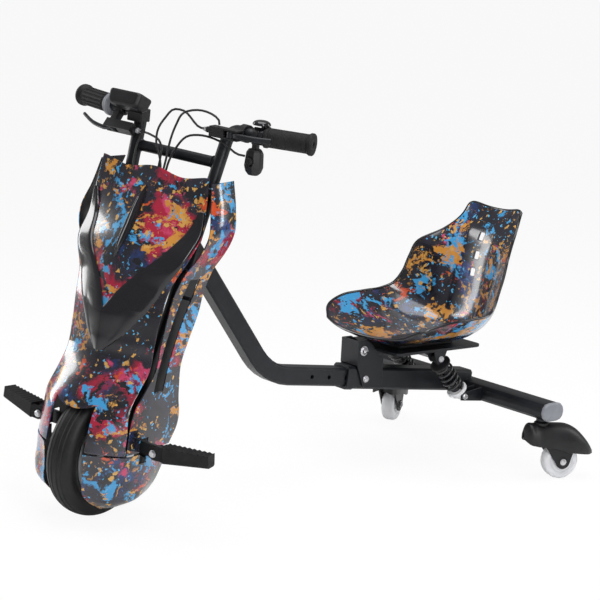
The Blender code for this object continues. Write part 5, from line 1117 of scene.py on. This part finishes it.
# distance behind the kingpin, half width, rim height and top height
FENDER_FORM = [
    (-0.039, 0.007, 0.085, 0.101), (-0.031, 0.02, 0.078, 0.116),
    (-0.017, 0.027, 0.0745, 0.1185), (0.005, 0.0305, 0.072, 0.119),
    (0.03, 0.0315, 0.069, 0.1185), (0.0586, 0.03, 0.06, 0.1155),
    (0.0786, 0.0265, 0.0565, 0.1055), (0.0944, 0.0225, 0.054, 0.0915),
    (0.11, 0.015, 0.052, 0.0735), (0.119, 0.006, 0.052, 0.06),
]
ROLLER_AT = (0, CASTER_TRAIL, CASTER_RADIUS)
ROLLER_HALF = 0.0145
ARM_INNER = ROLLER_HALF + 0.0008 + 0.0016
ARM_WALL = 0.0036
LOBE_RADIUS = 0.0155


def fender_at(u, v):
    s = between(FENDER_FORM[0][0], FENDER_FORM[-1][0], v)
    width, rim, top = through(FENDER_FORM, s)
    a = math.pi * (1 - u) / 2
    rise = max(0.0, math.sin(a)) ** 0.62
    return Vector((width * math.cos(a), s, rim + (top - rim) * rise))


def caster_fork():
    """The domed fender, an arm with a rounded foot on each side, and the kingpin."""
    held = walled(sheet(40, 72, fender_at, UP), Matrix.Identity(4), 0.0028, (), 0.0007)
    form = bmesh.new()
    form.from_mesh(held)
    lobe = []
    for i in range(13):
        a = math.radians(195 + 150 * i / 12)
        lobe.append((CASTER_TRAIL + LOBE_RADIUS * math.cos(a),
                     CASTER_RADIUS + LOBE_RADIUS * math.sin(a)))
    arm = [(-0.002, 0.084)] + lobe + [(0.072, 0.068), (0.070, 0.084)]
    web = [(-0.002, 0.084), (0.068, 0.084), (0.066, 0.073), (0.006, 0.0755)]
    boss = [(0.0048, 0.0), (0.0098, 0.0), (0.0098, 0.0044), (0.0088, 0.0050), (0.0048, 0.0050)]
    for side in (1, -1):
        slab(form, [(side * ARM_INNER, a, b) for a, b in arm], (side * ARM_WALL, 0, 0))
        slab(form, [(side * (ARM_INNER + 0.0005), a, b) for a, b in web],
             (side * (0.0280 - ARM_INNER), 0, 0))
        lathe(form, [(r, (ARM_INNER + x) * side) for r, x in boss], aim(ROLLER_AT, LEFT), 36)
    turned(form, Matrix.Identity(4), [(0.0155, 0.0150, 0.112, 0.1200),
                                      (0.0150, 0.0110, 0.1200, 0.1231),
                                      (0.0058, 0.0058, 0.1231, 0.1420, 24)])
    return form


def caster_wheel():
    w, r = ROLLER_HALF, CASTER_RADIUS
    half = [(r, 0.0), (r, w - 0.0085), (r - 0.0006, w - 0.0055), (r - 0.0024, w - 0.0022),
            (r - 0.0050, w - 0.0004), (r - 0.0075, w), (0.0260, w), (0.0250, w - 0.0006),
            (0.0232, w - 0.0022), (0.0120, w - 0.0022), (0.0110, w - 0.0006),
            (0.0098, w + 0.0006), (0.0050, w + 0.0006)]
    form = bmesh.new()
    lathe(form, [(a, -b) for a, b in reversed(half)] + half[1:], aim(ROLLER_AT, LEFT), 96)
    return form


def casters():
    for name, _ in SIDES:
        place = CASTERS[name]
        show("caster_fork_%s_look" % name, close_up(caster_fork(), place), PLASTIC,
             "caster_" + name, "black_plastic", "caster_fork_" + name, 38)
        show("caster_wheel_%s_look" % name, close_up(caster_wheel(), place), NYLON,
             "caster_roller_" + name, "white_wheel", "caster_wheel_" + name)
        bolt("caster_bolt_" + name, ROLLER_AT, 0.0212, 0.0040, 0.0068, "caster_" + name, place)


# frame

BRACKET_HALF = 0.0465 / 2 + GAP + 0.004 + GAP  # half the tube, and a plate beside it
LENGTH_BOLT_Y = 0.500 + 3 * 0.045
LENGTH_BOLT_Z = 0.2256 - 0.119 * (LENGTH_BOLT_Y - 0.3917)


def bolts():
    bolt("pivot_bolt", (0, 0.626, 0.257), BRACKET_HALF, 0.0050, 0.0100, "frame")
    bolt("length_bolt", (0, LENGTH_BOLT_Y, LENGTH_BOLT_Z), BRACKET_HALF, 0.0040, 0.0070, "frame")
    for name, side in SIDES:
        bolt("footpeg_bolt_" + name, (side * PEG_PIVOT[0], *PEG_PIVOT[1:]), 0.0131, 0.0040,
             0.0070, "front_unit", FRONT, (0, 1, 0), dome=False)


tyre()
hub()
axle()
covers()
trim()
handlebar()
grips()
bell()
cables()
display_face()
seat()
shocks()
casters()
bolts()
# the rest keep the CAD's shape: node, finish, body, slot and width of the rounded edges
for row in (
        ("front_fork", PAINT, "front_unit", "black_frame", 0.0006),
        ("battery_pack", PLASTIC, "front_unit", "black_plastic", 0.0012),
        ("controller_box", CAST, "front_unit", "hub", 0.0005),
        ("footpeg_left", RUBBER, "peg_left", "rubber", 0.0005),
        ("footpeg_right", RUBBER, "peg_right", "rubber", 0.0005),
        ("brake_perch_left", PLASTIC, "front_unit", "black_frame", 0.0005),
        ("brake_perch_right", PLASTIC, "front_unit", "black_frame", 0.0005),
        ("brake_lever_left", PAINT, "lever_left", "black_frame", 0.0005),
        ("brake_lever_right", PAINT, "lever_right", "black_frame", 0.0005),
        ("horn_pod", PLASTIC, "front_unit", "black_plastic", 0.0014),
        ("horn_button", RUBBER, "horn_key", "black_plastic", 0.0003),
        ("display_box", PLASTIC, "front_unit", "black_plastic", 0.0020),
        ("main_beam", PAINT, "frame", "black_frame", 0.0004),
        ("headset_lower", STEEL, "frame", "steel", 0.0),
        ("headset_upper", STEEL, "frame", "steel", 0.0),
        ("rear_frame", PAINT, "frame", "black_frame", 0.0004),
        ("end_cap_left", GREY, "frame", "grey_plastic", 0.0004),
        ("end_cap_right", GREY, "frame", "grey_plastic", 0.0004),
        ("seat_bracket", PAINT, "frame", "black_frame", 0.0005),
        ("seat_plate", PAINT, "seat", "black_frame", 0.0005)):
    from_cad(*row)


# studio

LIT_POINT = Vector((0, 0, 0.35))
ROOM_LIGHT = 0.27  # what the world gives the object; the camera sees it white
FLOOR_GLOW = 0.92  # share of the floor's white glow that the camera sees


def light(name, spot, size, power):
    lamp = bpy.data.lights.new(name, "AREA")
    lamp.shape = "RECTANGLE"
    lamp.size, lamp.size_y = size
    lamp.energy = power
    obj = placed(name, lamp)
    obj.location = spot
    obj.rotation_euler = (LIT_POINT - Vector(spot)).to_track_quat("-Z", "Y").to_euler()


def blended(tree, share, first, second, end):
    """Joins two shaders by a share and links them to the output."""
    blend = tree.nodes.new("ShaderNodeMixShader")
    for i, socket in enumerate((share, first, second)):
        tree.links.new(socket, blend.inputs[i])
    tree.links.new(blend.outputs[0], tree.nodes[end].inputs["Surface"])


def maths_node(tree, operation, first, second):
    node = tree.nodes.new("ShaderNodeMath")
    node.operation = operation
    tree.links.new(first, node.inputs[0])
    if isinstance(second, float):
        node.inputs[1].default_value = second
    else:
        tree.links.new(second, node.inputs[1])
    return node.outputs[0]


def white_world():
    world = bpy.data.worlds.new("studio")
    world.use_nodes = True
    tree = world.node_tree
    room = tree.nodes["Background"]
    white = tree.nodes.new("ShaderNodeBackground")
    for node, strength in ((room, ROOM_LIGHT), (white, 1.0)):
        node.inputs["Color"].default_value = (1, 1, 1, 1)
        node.inputs["Strength"].default_value = strength
    rays = tree.nodes.new("ShaderNodeLightPath").outputs
    seen = maths_node(tree, "MAXIMUM", rays["Is Camera Ray"], rays["Is Transmission Ray"])
    blended(tree, seen, room.outputs[0], white.outputs[0], "World Output")
    bpy.context.scene.world = world


def pale_floor():
    form = bmesh.new()
    bmesh.ops.create_grid(form, x_segments=1, y_segments=1, size=60.0,
                          matrix=Matrix.Translation((0, 0, -0.0006)))
    mesh = as_mesh(form, "floor")
    pale = bpy.data.materials.new("pale_floor")
    pale.use_nodes = True
    tree = pale.node_tree
    plain = tree.nodes["Principled BSDF"]
    plain.inputs["Base Color"].default_value = (0.93, 0.93, 0.93, 1)
    plain.inputs["Roughness"].default_value = 0.9
    glow = tree.nodes.new("ShaderNodeEmission")
    glow.inputs["Color"].default_value = (1, 1, 1, 1)
    rays = tree.nodes.new("ShaderNodeLightPath").outputs
    share = maths_node(tree, "MULTIPLY", rays["Is Camera Ray"], FLOOR_GLOW)
    blended(tree, share, plain.outputs[0], glow.outputs[0], "Material Output")
    mesh.materials.append(pale)
    placed("floor", mesh)


light("key", (2.5, -0.9, 1.5), (0.35, 2.4), 36)
light("fill", (-1.9, -1.1, 1.1), (0.40, 1.7), 17)
light("top", (0.2, -0.2, 3.0), (2.2, 2.2), 62)
light("back", (1.4, 2.4, 1.6), (0.4, 2.0), 24)
white_world()
pale_floor()
bpy.context.scene.view_settings.view_transform = "Standard"
